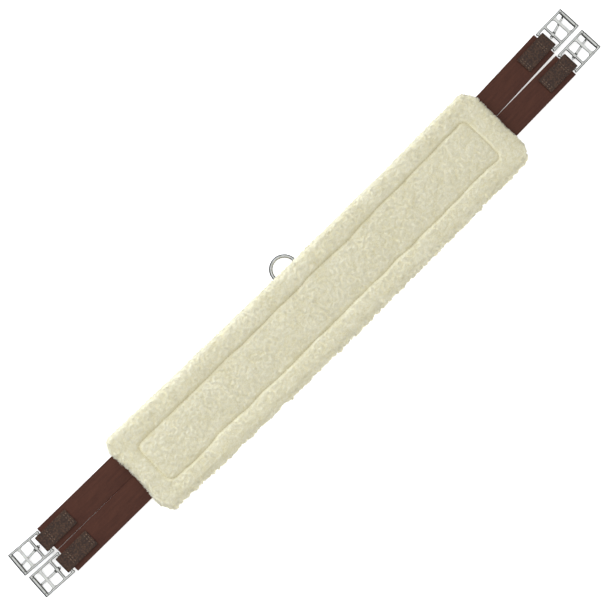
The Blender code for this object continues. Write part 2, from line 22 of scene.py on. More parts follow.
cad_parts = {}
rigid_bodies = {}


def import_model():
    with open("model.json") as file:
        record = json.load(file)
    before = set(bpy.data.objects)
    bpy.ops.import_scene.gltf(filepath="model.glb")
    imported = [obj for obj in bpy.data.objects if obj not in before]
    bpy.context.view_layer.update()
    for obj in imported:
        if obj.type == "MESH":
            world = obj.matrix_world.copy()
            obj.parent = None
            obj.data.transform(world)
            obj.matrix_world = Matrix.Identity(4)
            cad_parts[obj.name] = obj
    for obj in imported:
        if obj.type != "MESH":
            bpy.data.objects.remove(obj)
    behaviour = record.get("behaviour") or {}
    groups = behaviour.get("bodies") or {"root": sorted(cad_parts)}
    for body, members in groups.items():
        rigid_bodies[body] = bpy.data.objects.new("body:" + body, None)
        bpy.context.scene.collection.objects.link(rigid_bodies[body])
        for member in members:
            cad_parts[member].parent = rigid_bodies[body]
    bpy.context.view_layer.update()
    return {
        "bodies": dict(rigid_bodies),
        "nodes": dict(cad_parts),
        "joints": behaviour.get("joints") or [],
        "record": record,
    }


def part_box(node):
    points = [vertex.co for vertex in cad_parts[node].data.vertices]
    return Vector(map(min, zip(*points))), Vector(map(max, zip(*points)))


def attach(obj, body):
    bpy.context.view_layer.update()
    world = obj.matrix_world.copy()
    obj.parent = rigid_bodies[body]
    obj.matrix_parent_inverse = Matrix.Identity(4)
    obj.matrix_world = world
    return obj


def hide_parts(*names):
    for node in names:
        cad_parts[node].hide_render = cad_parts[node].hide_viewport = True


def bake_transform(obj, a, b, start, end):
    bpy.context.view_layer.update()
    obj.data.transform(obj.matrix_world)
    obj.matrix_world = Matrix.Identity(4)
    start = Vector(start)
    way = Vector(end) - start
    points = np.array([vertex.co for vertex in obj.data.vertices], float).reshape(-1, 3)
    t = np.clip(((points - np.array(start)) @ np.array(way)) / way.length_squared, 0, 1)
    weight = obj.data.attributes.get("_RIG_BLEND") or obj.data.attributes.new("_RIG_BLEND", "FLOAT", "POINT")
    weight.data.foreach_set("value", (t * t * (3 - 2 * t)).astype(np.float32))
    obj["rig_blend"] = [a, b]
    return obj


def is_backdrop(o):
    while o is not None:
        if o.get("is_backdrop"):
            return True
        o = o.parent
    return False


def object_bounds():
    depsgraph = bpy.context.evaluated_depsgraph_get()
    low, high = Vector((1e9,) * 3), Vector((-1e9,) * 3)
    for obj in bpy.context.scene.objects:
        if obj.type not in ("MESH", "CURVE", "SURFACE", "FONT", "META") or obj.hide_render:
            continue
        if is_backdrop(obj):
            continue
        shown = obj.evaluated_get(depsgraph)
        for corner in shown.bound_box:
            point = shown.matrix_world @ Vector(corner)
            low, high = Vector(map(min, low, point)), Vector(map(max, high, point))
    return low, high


Socket = bpy.types.NodeSocket
Mesh = bpy.types.Mesh
Piece = bpy.types.Object
Form = bmesh.types.BMesh
MM = 0.001
UP = Vector((0.0, 0.0, 1.0))
SEED = 44
MERGE_WITHIN = 0.002 * MM
SHARP = math.radians(60)
SOFT_SHARE = 0.3  # of a cut strip's thickness, taken off its edges
LEVEL_WITHIN = 0.01 * MM  # of heights that count as one
WAVES_PER_TURN = 20  # a wave texture at scale 1 repeats every 2 pi / 20
LOG = logging.getLogger("girth")


# ---------------------------------------------------------------------------------------------- materials


def linear(colour: str) -> tuple[float, float, float, float]:
    """Turns an sRGB hex colour into the linear colour that a shader reads.

    Args:
        colour: the colour as "#RRGGBB".

    Returns:
        Linear red, green, blue and an alpha of 1.
    """
    shares = [int(colour[i : i + 2], 16) / 255 for i in (1, 3, 5)]
    turned = [s / 12.92 if s <= 0.04045 else ((s + 0.055) / 1.055) ** 2.4 for s in shares]
    return (*turned, 1.0)


def add(
    tree: bpy.types.NodeTree,
    kind: str,
    settings: dict[str | int, object] | None = None,
    links: dict[str | int, Socket] | None = None,
) -> bpy.types.Node:
    """Adds a node with its settings and links.

    Args:
        tree: the node tree.
        kind: the node's type, less its ShaderNode prefix.
        settings: properties of the node, or values of its inputs, by name or by index.
        links: the output that feeds each input, by name or by index.

    Returns:
        The new node.
    """
    node = tree.nodes.new(f"ShaderNode{kind}")
    for key, value in (settings or {}).items():
        if isinstance(key, str) and hasattr(node, key):
            setattr(node, key, value)
        else:
            node.inputs[key].default_value = value
    for key, output in (links or {}).items():
        tree.links.new(output, node.inputs[key])
    return node


class Coordinates(Enum):
    """What a pattern follows."""

    PLACE = "the frame's own axes"
    LAY = "the piece's own length, width and thickness, however it lies"


class Axis(Enum):
    """The axis that a pattern's waves follow each other along."""

    LENGTH = "X"
    WIDTH = "Y"


@dataclass
class Pattern:
    """A material being made: its node tree, its shader and the coordinates, in metres, that it reads."""

    tree: bpy.types.NodeTree
    shader: bpy.types.Node
    place: Socket

    def feed(self, socket: str, output: Socket) -> None:
        """Links an output to one of the shader's inputs."""
        self.tree.links.new(output, self.shader.inputs[socket])

    def noise(
        self, size: float, stretch: tuple[float, float, float] = (1, 1, 1), detail: float = 3.0
    ) -> Socket:
        """Adds soft noise.

        Args:
            size: how wide its patches are, in metres.
            stretch: how much longer the patches are along each axis.
            detail: how many finer layers it has.

        Returns:
            The noise, from 0 to 1.
        """
        mapped = add(self.tree, "Mapping", {"Scale": [1 / s for s in stretch]}, {"Vector": self.place})
        settings = {"Scale": 1 / size, "Detail": detail}
        return add(self.tree, "TexNoise", settings, {"Vector": mapped.outputs[0]}).outputs[0]

    def waves(self, pitch: float, axis: Axis, wobble: float = 0.4) -> Socket:
        """Adds waves with a pitch in metres along an axis, and returns their height."""
        scale = math.tau / (WAVES_PER_TURN * pitch)
        settings = {"wave_type": "BANDS", "bands_direction": axis.value, "Scale": scale, "Distortion": wobble}
        return add(self.tree, "TexWave", settings, {"Vector": self.place}).outputs["Fac"]

    def cells(
        self, size: float, place: Socket | None = None, **options: str | float
    ) -> Socket:
        """Adds cells of a size in metres, and returns the distance from each cell's middle."""
        settings = {**options, "Scale": 1 / size}
        return add(self.tree, "TexVoronoi", settings, {"Vector": place or self.place}).outputs["Distance"]

    def result(
        self, operation: str, first: Socket, second: Socket | float
    ) -> Socket:
        """Works out a value from another one and a value or a number."""
        if isinstance(second, float):
            return add(self.tree, "Math", {"operation": operation, 1: second}, {0: first}).outputs[0]
        return add(self.tree, "Math", {"operation": operation}, {0: first, 1: second}).outputs[0]

    def between(
        self, share: Socket, low: str, high: str, start: float = 0.35, stop: float = 0.65
    ) -> Socket:
        """Adds a ramp between two sRGB hex colours.

        Args:
            share: what drives the ramp.
            low: the colour at and below start.
            high: the colour at and above stop.
            start: where the ramp starts.
            stop: where it ends.

        Returns:
            The colour.
        """
        ramp = add(self.tree, "ValToRGB", None, {0: share})
        first, last = ramp.color_ramp.elements
        first.position, last.position = start, stop
        first.color, last.color = linear(low), linear(high)
        return ramp.outputs[0]

    def mixed(
        self, share: float, first: Socket, second: Socket
    ) -> Socket:
        """Mixes a share of a second colour into a first one."""
        return add(self.tree, "Mix", {"data_type": "RGBA", 0: share}, {6: first, 7: second}).outputs[2]

    def gloss(
        self, share: Socket, seen: tuple[float, float], roughness: tuple[float, float]
    ) -> None:
        """Feeds the shader's roughness, from a pattern whose seen range is mapped to a range of it."""
        names = ("From Min", "From Max", "To Min", "To Max")
        settings = dict(zip(names, (*seen, *roughness)))
        self.feed("Roughness", add(self.tree, "MapRange", settings, {"Value": share}).outputs[0])

    def bump(self, *heights: tuple[Socket, float, float]) -> None:
        """Stacks bumps on the shader's normal.

        Args:
            heights: for each bump its height pattern, its depth in metres and its strength.
        """
        below = None
        for height, depth, strength in heights:
            links = {"Height": height, "Normal": below} if below else {"Height": height}
            below = add(self.tree, "Bump", {"Distance": depth, "Strength": strength}, links).outputs[0]
        self.feed("Normal", below)


@dataclass(frozen=True)
class Finish:
    """A material: what it is called and how its colour and surface are made."""

    name: str = "Plain"
    roughness: float = 0.6
    metallic: float = 0.0
    sheen: float = 0.0
    sheen_roughness: float = 0.5
    coat: float = 0.0
    coat_roughness: float = 0.2
    follows: Coordinates = Coordinates.LAY

    def material(self) -> bpy.types.Material:
        """Returns the material, made once."""
        found = bpy.data.materials.get(self.name)
        if found:
            return found
        made = bpy.data.materials.new(self.name)
        made.use_nodes = True
        tree = made.node_tree
        shader = tree.nodes["Principled BSDF"]
        for socket, value in (
            ("Roughness", self.roughness),
            ("Metallic", self.metallic),
            ("Sheen Weight", self.sheen),
            ("Sheen Roughness", self.sheen_roughness),
            ("Coat Weight", self.coat),
            ("Coat Roughness", self.coat_roughness),
        ):
            shader.inputs[socket].default_value = value
        self.dress(Pattern(tree, shader, self.coordinates(tree)))
        return made

    def coordinates(self, tree: bpy.types.NodeTree) -> Socket:
        """Returns the vector, in metres, that this finish's patterns read."""
        if self.follows is Coordinates.PLACE:
            return add(tree, "TexCoord").outputs["Object"]
        return add(tree, "Attribute", {"attribute_name": "lay"}).outputs["Vector"]

    def dress(self, pattern: Pattern) -> None:
        """Adds the finish's own nodes."""
        raise NotImplementedError


@dataclass(frozen=True)
class WoolPile(Finish):
    """Knitted wool pile, sheared and brushed up: matt cream tips over yellower roots, whose colour is painted
    shade deep in the pile.
    """

    name: str = "Sheared_Wool_Pile"
    roughness: float = 0.95
    sheen: float = 0.3
    sheen_roughness: float = 0.55
    follows: Coordinates = Coordinates.PLACE
    # painted shade: the colour deep in the pile, where the fibres shade each other
    root: str = "#DCCF98"
    tip: str = "#F8F2D7"
    dull: str = "#E2DBB6"
    bright: str = "#FAF7E4"
    patch: float = 26 * MM
    patch_share: float = 0.25
    tuft: float = 2.3 * MM
    tuft_share: float = 0.4
    fibre: float = 0.9 * MM  # single fibres are far finer
    relief: tuple[float, float] = (0.5 * MM, 0.7)  # depth and strength, here and below

    def dress(self, pattern: Pattern) -> None:
        """Mixes root and tip colours by the pile attribute, which paints shade low in the pile, and mottles
        them by patch and tuft.
        """
        height = add(pattern.tree, "Attribute", {"attribute_name": "pile"}).outputs["Fac"]
        # painted shade: low values of the pile attribute take the darker root colour
        colour = pattern.between(height, self.root, self.tip, 0.0, 0.75)
        patches = pattern.between(pattern.noise(self.patch), self.dull, self.bright)
        tufts = pattern.between(pattern.noise(self.tuft), self.dull, self.bright)
        colour = pattern.mixed(self.patch_share, colour, patches)
        colour = pattern.mixed(self.tuft_share, colour, tufts)
        pattern.feed("Base Color", colour)
        pattern.bump((pattern.noise(self.fibre, detail=2.0), *self.relief))


@dataclass(frozen=True)
class WovenElastic(Finish):
    """Elastic webbing woven over covered rubber: close lengthwise cords, matt, with faint streaks."""

    name: str = "Woven_Elastic_Webbing"
    roughness: float = 0.9
    dark: str = "#40231A"
    light: str = "#523023"
    cord: float = 1.1 * MM  # real cords are about half this, too fine to show
    cord_relief: tuple[float, float] = (0.18 * MM, 0.6)
    pick: float = 0.8 * MM  # between crosswise threads
    pick_relief: tuple[float, float] = (0.08 * MM, 0.4)
    speck_relief: tuple[float, float] = (0.1 * MM, 0.3)
    speck_share: float = 0.4
    streak: float = 4 * MM

    def dress(self, pattern: Pattern) -> None:
        """Streaks the colour along the strap and raises the cords and the crosswise threads."""
        streaks = pattern.noise(self.streak, (9, 1, 1))
        specks = pattern.noise(self.cord, (2.5, 1, 1))
        shades = [pattern.between(p, self.dark, self.light, 0.3, 0.7) for p in (streaks, specks)]
        pattern.feed("Base Color", pattern.mixed(self.speck_share, *shades))
        cords = pattern.waves(self.cord, Axis.WIDTH)
        picks = pattern.waves(self.pick, Axis.LENGTH)
        pattern.bump((cords, *self.cord_relief), (picks, *self.pick_relief), (specks, *self.speck_relief))


@dataclass(frozen=True)
class PebbledLeather(Finish):
    """Drum-dyed hide with an embossed pebble grain, oiled: dark olive brown, dull, lighter on its bumps, with
    painted shade in the valleys between them.
    """

    name: str = "Pebbled_Oiled_Leather"
    roughness: float = 0.62
    coat: float = 0.03
    coat_roughness: float = 0.45
    # painted shade in the valleys between the pebbles
    valley: str = "#1B1009"
    body: str = "#442B1F"
    worn: str = "#543B29"
    pebble: float = 2.3 * MM
    pebble_relief: tuple[float, float] = (0.9 * MM, 1.0)
    warp: float = 0.6  # how far the pebbles are bent out of shape, as a share of their size
    patch: float = 9 * MM
    patch_share: float = 0.35
    pore: float = 0.5 * MM
    pore_relief: tuple[float, float] = (0.08 * MM, 0.4)

    def dress(self, pattern: Pattern) -> None:
        """Raises the pebbles, paints shade into the valleys between them and wears the tops unevenly."""
        bend = {"operation": "MULTIPLY_ADD", 1: (self.warp * self.pebble,) * 3}
        links = {0: pattern.noise(2 * self.pebble), 2: pattern.place}
        bent = add(pattern.tree, "VectorMath", bend, links).outputs[0]
        pebbles = pattern.cells(self.pebble, bent, feature="SMOOTH_F1", Smoothness=0.4)
        # painted shade: the colour darkens from the pebbles' tops to the valleys between them
        colour = pattern.between(pebbles, self.worn, self.valley, 0.15, 0.6)
        worn = pattern.between(pattern.noise(self.patch), self.body, self.worn, 0.45, 0.75)
        pattern.feed("Base Color", pattern.mixed(self.patch_share, colour, worn))
        down = pattern.result("MULTIPLY", pebbles, -1.0)
        pattern.bump((down, *self.pebble_relief), (pattern.noise(self.pore), *self.pore_relief))


@dataclass(frozen=True)
class BridleLeather(Finish):
    """Vegetable-tanned bridle leather, waxed and rubbed: smooth, half glossy, with fine pores and scuffs."""

    name: str = "Waxed_Bridle_Leather"
    roughness: float = 0.42
    coat: float = 0.25
    coat_roughness: float = 0.3
    follows: Coordinates = Coordinates.PLACE
    dark: str = "#3A2019"
    light: str = "#52301F"
    pore: float = 0.55 * MM
    pore_relief: tuple[float, float] = (0.06 * MM, 0.35)
    crease: float = 3.5 * MM
    crease_relief: tuple[float, float] = (0.2 * MM, 0.4)
    patch: float = 40 * MM

    def dress(self, pattern: Pattern) -> None:
        """Clouds the dye, and gives the surface pores, fine creases and uneven gloss."""
        clouds = pattern.noise(self.patch)
        pattern.feed("Base Color", pattern.between(clouds, self.dark, self.light, 0.35, 0.7))
        creases = pattern.noise(self.crease, (2, 1, 1))
        pattern.gloss(creases, (0.3, 0.7), (0.36, 0.52))
        pattern.bump((creases, *self.crease_relief), (pattern.cells(self.pore), *self.pore_relief))


@dataclass(frozen=True)
class SplitLeather(Finish):
    """Soft lining leather with its nap up: mid brown, matt, with brushed patches."""

    name: str = "Napped_Lining_Leather"
    roughness: float = 0.85
    sheen: float = 0.3
    follows: Coordinates = Coordinates.PLACE
    dark: str = "#6B4A33"
    light: str = "#86623F"
    patch: float = 18 * MM
    nap: float = 0.6 * MM
    nap_relief: tuple[float, float] = (0.15 * MM, 0.5)

    def dress(self, pattern: Pattern) -> None:
        """Brushes the nap in patches and roughens it finely."""
        brushed = pattern.noise(self.patch, (2, 1, 1))
        pattern.feed("Base Color", pattern.between(brushed, self.dark, self.light))
        pattern.bump((pattern.noise(self.nap), *self.nap_relief))


@dataclass(frozen=True)
class NarrowWeave(Finish):
    """Woven tape or cloth: a plain weave of threads that cross, matt."""

    name: str = "Woven_Tape"
    roughness: float = 0.88
    sheen: float = 0.1
    follows: Coordinates = Coordinates.PLACE
    dark: str = "#B9B08C"
    light: str = "#D8D0AE"
    thread: float = 1.2 * MM
    depth: float = 0.2 * MM
    strengths: tuple[float, float] = (0.7, 0.4)  # of the threads' relief and of the fuzz on them

    def dress(self, pattern: Pattern) -> None:
        """Crosses two sets of waves, which shade and raise the threads."""
        along, across = (pattern.waves(self.thread, axis) for axis in (Axis.LENGTH, Axis.WIDTH))
        weave = pattern.result("MULTIPLY", along, across)
        pattern.feed("Base Color", pattern.between(weave, self.dark, self.light, 0.0, 0.6))
        fuzz = pattern.noise(self.thread / 2)
        pattern.bump((weave, self.depth, self.strengths[0]), (fuzz, self.depth / 3, self.strengths[1]))


@dataclass(frozen=True)
class NickelPlate(Finish):
    """Cast steel, polished and nickel plated: silver-white metal, with soft handling marks in its gloss."""

    name: str = "Nickel_Plated_Steel"
    roughness: float = 0.2
    metallic: float = 1.0
    clean: str = "#CBCDCA"
    dull: str = "#B3B5B2"
    smear: float = 7 * MM
    mark: float = 0.5 * MM
    ripple: float = 2.5 * MM
    ripple_relief: tuple[float, float] = (0.05 * MM, 0.25)

    def dress(self, pattern: Pattern) -> None:
        """Smears the plating's gloss and leaves a faint cast ripple under it."""
        smears = pattern.noise(self.smear)
        pattern.feed("Base Color", pattern.between(smears, self.clean, self.dull, 0.4, 0.75))
        marks = pattern.noise(self.mark, (10, 1, 1))
        pattern.gloss(pattern.result("ADD", smears, marks), (0.7, 1.4), (0.13, 0.3))
        pattern.bump((pattern.noise(self.ripple), *self.ripple_relief))


@dataclass(frozen=True)
class BondedThread(Finish):
    """Bonded nylon sewing thread: two plies twisted, with a slight gloss."""

    name: str = "Bonded_Thread_Brown"
    roughness: float = 0.5
    follows: Coordinates = Coordinates.PLACE
    dark: str = "#4E3B2E"
    light: str = "#86705A"
    ply: float = 0.9 * MM
    ply_relief: tuple[float, float] = (0.1 * MM, 0.5)

    def dress(self, pattern: Pattern) -> None:
        """Shades and raises the plies."""
        plies = pattern.noise(self.ply)
        pattern.feed("Base Color", pattern.between(plies, self.dark, self.light))
        pattern.bump((plies, *self.ply_relief))


@dataclass(frozen=True)
class StudioSweep(Finish):
    """White painted board, lit from within as a light table is: it keeps shadows faint."""

    name: str = "White_Light_Table"
    roughness: float = 0.9
    follows: Coordinates = Coordinates.PLACE
    paint: str = "#FAFAF8"
    mirrored: str = "#181918"
    glow: float = 0.66

    def dress(self, pattern: Pattern) -> None:
        """Paints it and makes it glow, and lets polished metal mirror a darker board."""
        tree, shader = pattern.tree, pattern.shader
        for socket in ("Base Color", "Emission Color"):
            shader.inputs[socket].default_value = linear(self.paint)
        shader.inputs["Emission Strength"].default_value = self.glow
        dark = add(tree, "BsdfDiffuse", {"Color": linear(self.mirrored)})
        ray = add(tree, "LightPath").outputs["Is Glossy Ray"]
        both = add(tree, "MixShader", None, {0: ray, 1: shader.outputs[0], 2: dark.outputs[0]})
        tree.links.new(both.outputs[0], tree.nodes["Material Output"].inputs["Surface"])


NICKEL = NickelPlate()
PILE = WoolPile()
CHAPE_LEATHER = PebbledLeather()
LEATHER_THREAD = BondedThread()
LINER_THREAD = BondedThread(name="Bonded_Thread_Straw", dark="#BDB07C", light="#DDD3A4")
BODY_THREAD = BondedThread(name="Bonded_Thread_Tan", dark="#7A5A3C", light="#A98861")


# ---------------------------------------------------------------------------------------------- mesh tools


def mesh_from(bm: Form, name: str) -> Mesh:
    """Turns a bmesh into a mesh and frees it.

    Args:
        bm: the bmesh, with its normals as they should be.
        name: the mesh's name.

    Returns:
        The mesh.
    """
    mesh = bpy.data.meshes.new(name)
    bm.to_mesh(mesh)
    bm.free()
    return mesh


def placed(name: str, data: bpy.types.ID) -> Piece:
    """Makes an object of some data and links it into the scene."""
    obj = bpy.data.objects.new(name, data)
    bpy.context.scene.collection.objects.link(obj)
    return obj


def rounded(
    bm: Form, geom: Sequence[object], offset: float, segments: int, affect: str = "EDGES"
) -> None:
    """Bevels edges, or the corners of a flat face, with a round profile."""
    bmesh.ops.bevel(
        bm, geom=geom, offset=offset, segments=segments, profile=0.5, affect=affect, material=-1
    )


def spun(bm: Form, axis: Vector, steps: int) -> None:
    """Spins a section's outline once round an axis through the origin and closes the surface."""
    outline = bm.verts[:] + bm.edges[:]
    bmesh.ops.spin(
        bm, geom=outline, cent=(0, 0, 0), axis=axis, angle=math.tau, steps=steps, use_merge=True
    )
    closed(bm)


def closed(bm: Form) -> None:
    """Merges doubles and turns every face outwards."""
    bmesh.ops.remove_doubles(bm, verts=bm.verts, dist=MERGE_WITHIN)
    bmesh.ops.recalc_face_normals(bm, faces=bm.faces)


def laid(bm: Form, name: str) -> Mesh:
    """Turns a bmesh into a mesh, and stores each point's own place as what its patterns follow."""
    mesh = mesh_from(bm, name)
    points = np.empty(len(mesh.vertices) * 3, np.float32)
    mesh.vertices.foreach_get("co", points)
    lay = mesh.attributes.new("lay", "FLOAT_VECTOR", "POINT")
    lay.data.foreach_set("vector", points)
    return mesh


def piece(
    name: str,
    mesh: Mesh,
    finish: Finish,
    stands_for: Sequence[str] = (),
    smooth_to: float | None = 40.0,
) -> Piece:
    """Makes an object of the girth from a mesh whose points are in place.

    Args:
        name: the piece's name.
        mesh: its mesh.
        finish: its finish.
        stands_for: the CAD nodes that it replaces.
        smooth_to: edges sharper than this many degrees stay sharp; None leaves shading as it is.

    Returns:
        The object, which still has to ride or blend.
    """
    obj = placed(name, mesh)
    mesh.materials.clear()
    mesh.materials.append(finish.material())
    if smooth_to is not None:
        mesh.shade_smooth()
        mesh.set_sharp_from_angle(angle=math.radians(smooth_to))
    if stands_for:
        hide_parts(*stands_for)
    return obj


def evaluated(obj: Piece) -> Mesh:
    """Returns a new mesh of an object with its modifiers applied, and removes the object."""
    bpy.context.view_layer.update()
    graph = bpy.context.evaluated_depsgraph_get()
    mesh = bpy.data.meshes.new_from_object(obj.evaluated_get(graph))
    bpy.data.objects.remove(obj)
    return mesh


def merged_copy(node: Piece, matrix: Matrix) -> Form:
    """Returns a CAD node's shape as one merged bmesh, moved by a matrix."""
    bm = bmesh.new()
    bm.from_mesh(node.data)
    bmesh.ops.remove_doubles(bm, verts=bm.verts, dist=MERGE_WITHIN)
    bmesh.ops.transform(bm, matrix=matrix, verts=bm.verts)
    return bm


def local_box(node: Piece, matrix: Matrix) -> tuple[Vector, Vector]:
    """Returns a CAD node's lowest and highest corners in the axes that a matrix leads to."""
    points = [matrix @ v.co for v in node.data.vertices]
    low = Vector(min(p[i] for p in points) for i in range(3))
    high = Vector(max(p[i] for p in points) for i in range(3))
    return low, high


def repeated(name: str, template: Mesh, places: np.ndarray) -> Mesh:
    """Copies one small shape to many places, in one mesh.

    Args:
        name: the mesh's name.
        template: the small shape, whose float attributes of its points are copied too.
        places: one 4x4 matrix for each copy.

    Returns:
        The mesh.
    """
    count, size = len(places), len(template.vertices)
    points = np.empty(size * 3, np.float32)
    template.vertices.foreach_get("co", points)
    points = np.c_[points.reshape(-1, 3), np.ones(size)]
    moved = np.einsum("nij,vj->nvi", places, points)[:, :, :3].reshape(-1, 3)
    corners = np.empty(len(template.loops), np.int32)
    template.loops.foreach_get("vertex_index", corners)
    starts = np.empty(len(template.polygons), np.int32)
    template.polygons.foreach_get("loop_start", starts)
    shift = np.arange(count)[:, None]
    mesh = bpy.data.meshes.new(name)
    mesh.vertices.add(count * size)
    mesh.loops.add(count * len(corners))
    mesh.polygons.add(count * len(starts))
    mesh.vertices.foreach_set("co", moved.astype(np.float32).ravel())
    mesh.loops.foreach_set("vertex_index", (corners + shift * size).ravel().astype(np.int32))
    mesh.polygons.foreach_set("loop_start", (starts + shift * len(corners)).ravel().astype(np.int32))
    for old in template.attributes:
        if old.domain == "POINT" and old.data_type == "FLOAT" and not old.name.startswith("."):
            values = np.empty(size, np.float32)
            old.data.foreach_get("value", values)
            new = mesh.attributes.new(old.name, "FLOAT", "POINT")
            new.data.foreach_set("value", np.tile(values, count))
    mesh.update(calc_edges=True)
    mesh.validate()
    return mesh


def stacked(places: Iterable[Matrix]) -> np.ndarray:
    """Returns matrices as one array."""
    return np.array([[tuple(row) for row in place] for place in places])


def stitch_shape(length: float, radius: float) -> Mesh:
    """Returns one stitch: a short rounded capsule along X."""
    bm = bmesh.new()
    bmesh.ops.create_uvsphere(bm, u_segments=6, v_segments=5, radius=1.0)
    bmesh.ops.rotate(bm, verts=bm.verts, matrix=Matrix.Rotation(math.pi / 2, 3, "Y"))
    bmesh.ops.scale(bm, verts=bm.verts, vec=(length / 2, radius, radius))
    return mesh_from(bm, "stitch")


def stitch_places(path: Sequence[Vector], pitch: float, normal: Vector) -> list[Matrix]:
    """Spaces stitches evenly along a path.

    Args:
        path: the points of an open or closed line.
        pitch: from one stitch to the next.
        normal: the direction that the sewn surface faces.

    Returns:
        A matrix for each stitch, with X along the line and Z along the normal.
    """
    steps = [(b - a).length for a, b in zip(path, path[1:])]
    total = sum(steps)
    count = max(1, round(total / pitch))
    places = []
    for k in range(count):
        left = (k + 0.5) * total / count
        i = 0
        while left > steps[i] and i + 1 < len(steps):
            left -= steps[i]
            i += 1
        along = (path[i + 1] - path[i]).normalized()
        across = normal.cross(along).normalized()
        turn = Matrix((along, across, normal)).transposed().to_4x4()
        places.append(Matrix.Translation(path[i] + along * left) @ turn)
    return places


def plan_outline(node: Piece, inset: float = 0.0) -> list[Vector]:
    """Walks round the lowest face of a flat CAD node.

    Args:
        node: the CAD node, a flat plate.
        inset: how far inside the edge the line runs.

    Returns:
        The points of the closed line, the first one again at the end.
    """
    bm = merged_copy(node, Matrix.Identity(4))
    low = min(v.co.z for v in bm.verts)

    def flat(face: bmesh.types.BMFace) -> bool:
        return all(abs(v.co.z - low) < LEVEL_WITHIN for v in face.verts)

    rim = {e for e in bm.edges if sum(flat(f) for f in e.link_faces) == 1}
    start = min(rim, key=lambda e: e.index).verts[0]
    points, vert, used = [start.co.copy()], start, set()
    while True:
        following = [e for e in vert.link_edges if e in rim and e not in used]
        if not following:
            break
        used.add(following[0])
        vert = following[0].other_vert(vert)
        points.append(vert.co.copy())
    bm.free()
    if not inset:
        return points
    ring = points[:-1]
    area = sum(a.x * b.y - b.x * a.y for a, b in zip(ring, ring[1:] + ring[:1]))
    turn = 1 if area > 0 else -1
    moved = []
    for i, p in enumerate(ring):
        along = (ring[(i + 1) % len(ring)] - ring[i - 1]).normalized()
        moved.append(p + UP.cross(along) * (inset * turn))
    return moved + moved[:1]


def cloth_along(
    rows: int, path: Callable[[float], tuple[float, float]], width: float, thick: float
) -> Form:
    """Bends a flat strip along a path in the XZ plane and gives it thickness and soft edges.

    Args:
        rows: how many faces long the strip is.
        path: gives X and Z at a share of the strip's length.
        width: the strip's width, along Y.
        thick: its thickness, centred on the path.

    Returns:
        The closed strip.
    """
    bm = bmesh.new()
    bmesh.ops.create_grid(bm, x_segments=rows, y_segments=4, size=0.5)
    for v in bm.verts:
        x, z = path(v.co.x + 0.5)
        v.co = (x, v.co.y * width, z)
    bmesh.ops.recalc_face_normals(bm, faces=bm.faces)
    for v in bm.verts:
        v.normal_update()
    outward = [v.normal * (thick / 2) for v in bm.verts]
    for v, shift in zip(bm.verts, outward):
        v.co += shift  # the thickness grows inwards from here
    bmesh.ops.solidify(bm, geom=bm.faces[:], thickness=thick)
    bmesh.ops.recalc_face_normals(bm, faces=bm.faces)
    for v in bm.verts:
        v.normal_update()
    sharp = [e for e in bm.edges if e.is_manifold and e.calc_face_angle(0) > SHARP]
    rounded(bm, sharp, SOFT_SHARE * thick, 3)
    closed(bm)
    return bm


def centred_path(points: Sequence[tuple[float, float]]) -> Callable[[float], tuple[float, float]]:
    """Returns a function that gives the place at a share of a polyline's length."""
    line = np.array(points)
    steps = np.hypot(*np.diff(line, axis=0).T)
    reach = np.r_[0, np.cumsum(steps)] / steps.sum()

    def at(share: float) -> tuple[float, float]:
        return (float(np.interp(share, reach, line[:, 0])), float(np.interp(share, reach, line[:, 1])))

    return at


@dataclass(frozen=True)
class Fold:
    """A strip that is folded round a bar: two flat legs, a ramp on each, and a loop with some slack.

    X is 0 at the bar's axis and falls along the legs; Z is across the strip's thickness.
    """

    end: float  # X at the legs' ends
    flat: float  # height of a leg's middle
    ramp: float
    slack: float
    reach: float  # from the bar's axis to the middle of the loop's thickness
    arc: int  # faces round the loop
    rows: int  # faces along the whole strip

    def strip(self, name: str, width: float, thick: float) -> Mesh:
        """Makes the folded strip.

        Args:
            name: the mesh's name.
            width: the strip's width, along Y.
            thick: its thickness.

        Returns:
            The closed mesh, with its lay.
        """
        foot = -self.slack - self.ramp
        turns = [math.pi * (k / self.arc - 0.5) for k in range(self.arc + 1)]
        line = [(self.end, -self.flat), (foot, -self.flat), (-self.slack, -self.reach)]
        line += [(self.slack + self.reach * math.cos(a), self.reach * math.sin(a)) for a in turns]
        line += [(-self.slack, self.reach), (foot, self.flat), (self.end, self.flat)]
        return laid(cloth_along(self.rows, centred_path(line), width, thick), name)


# ---------------------------------------------------------------------------------------------- the liner


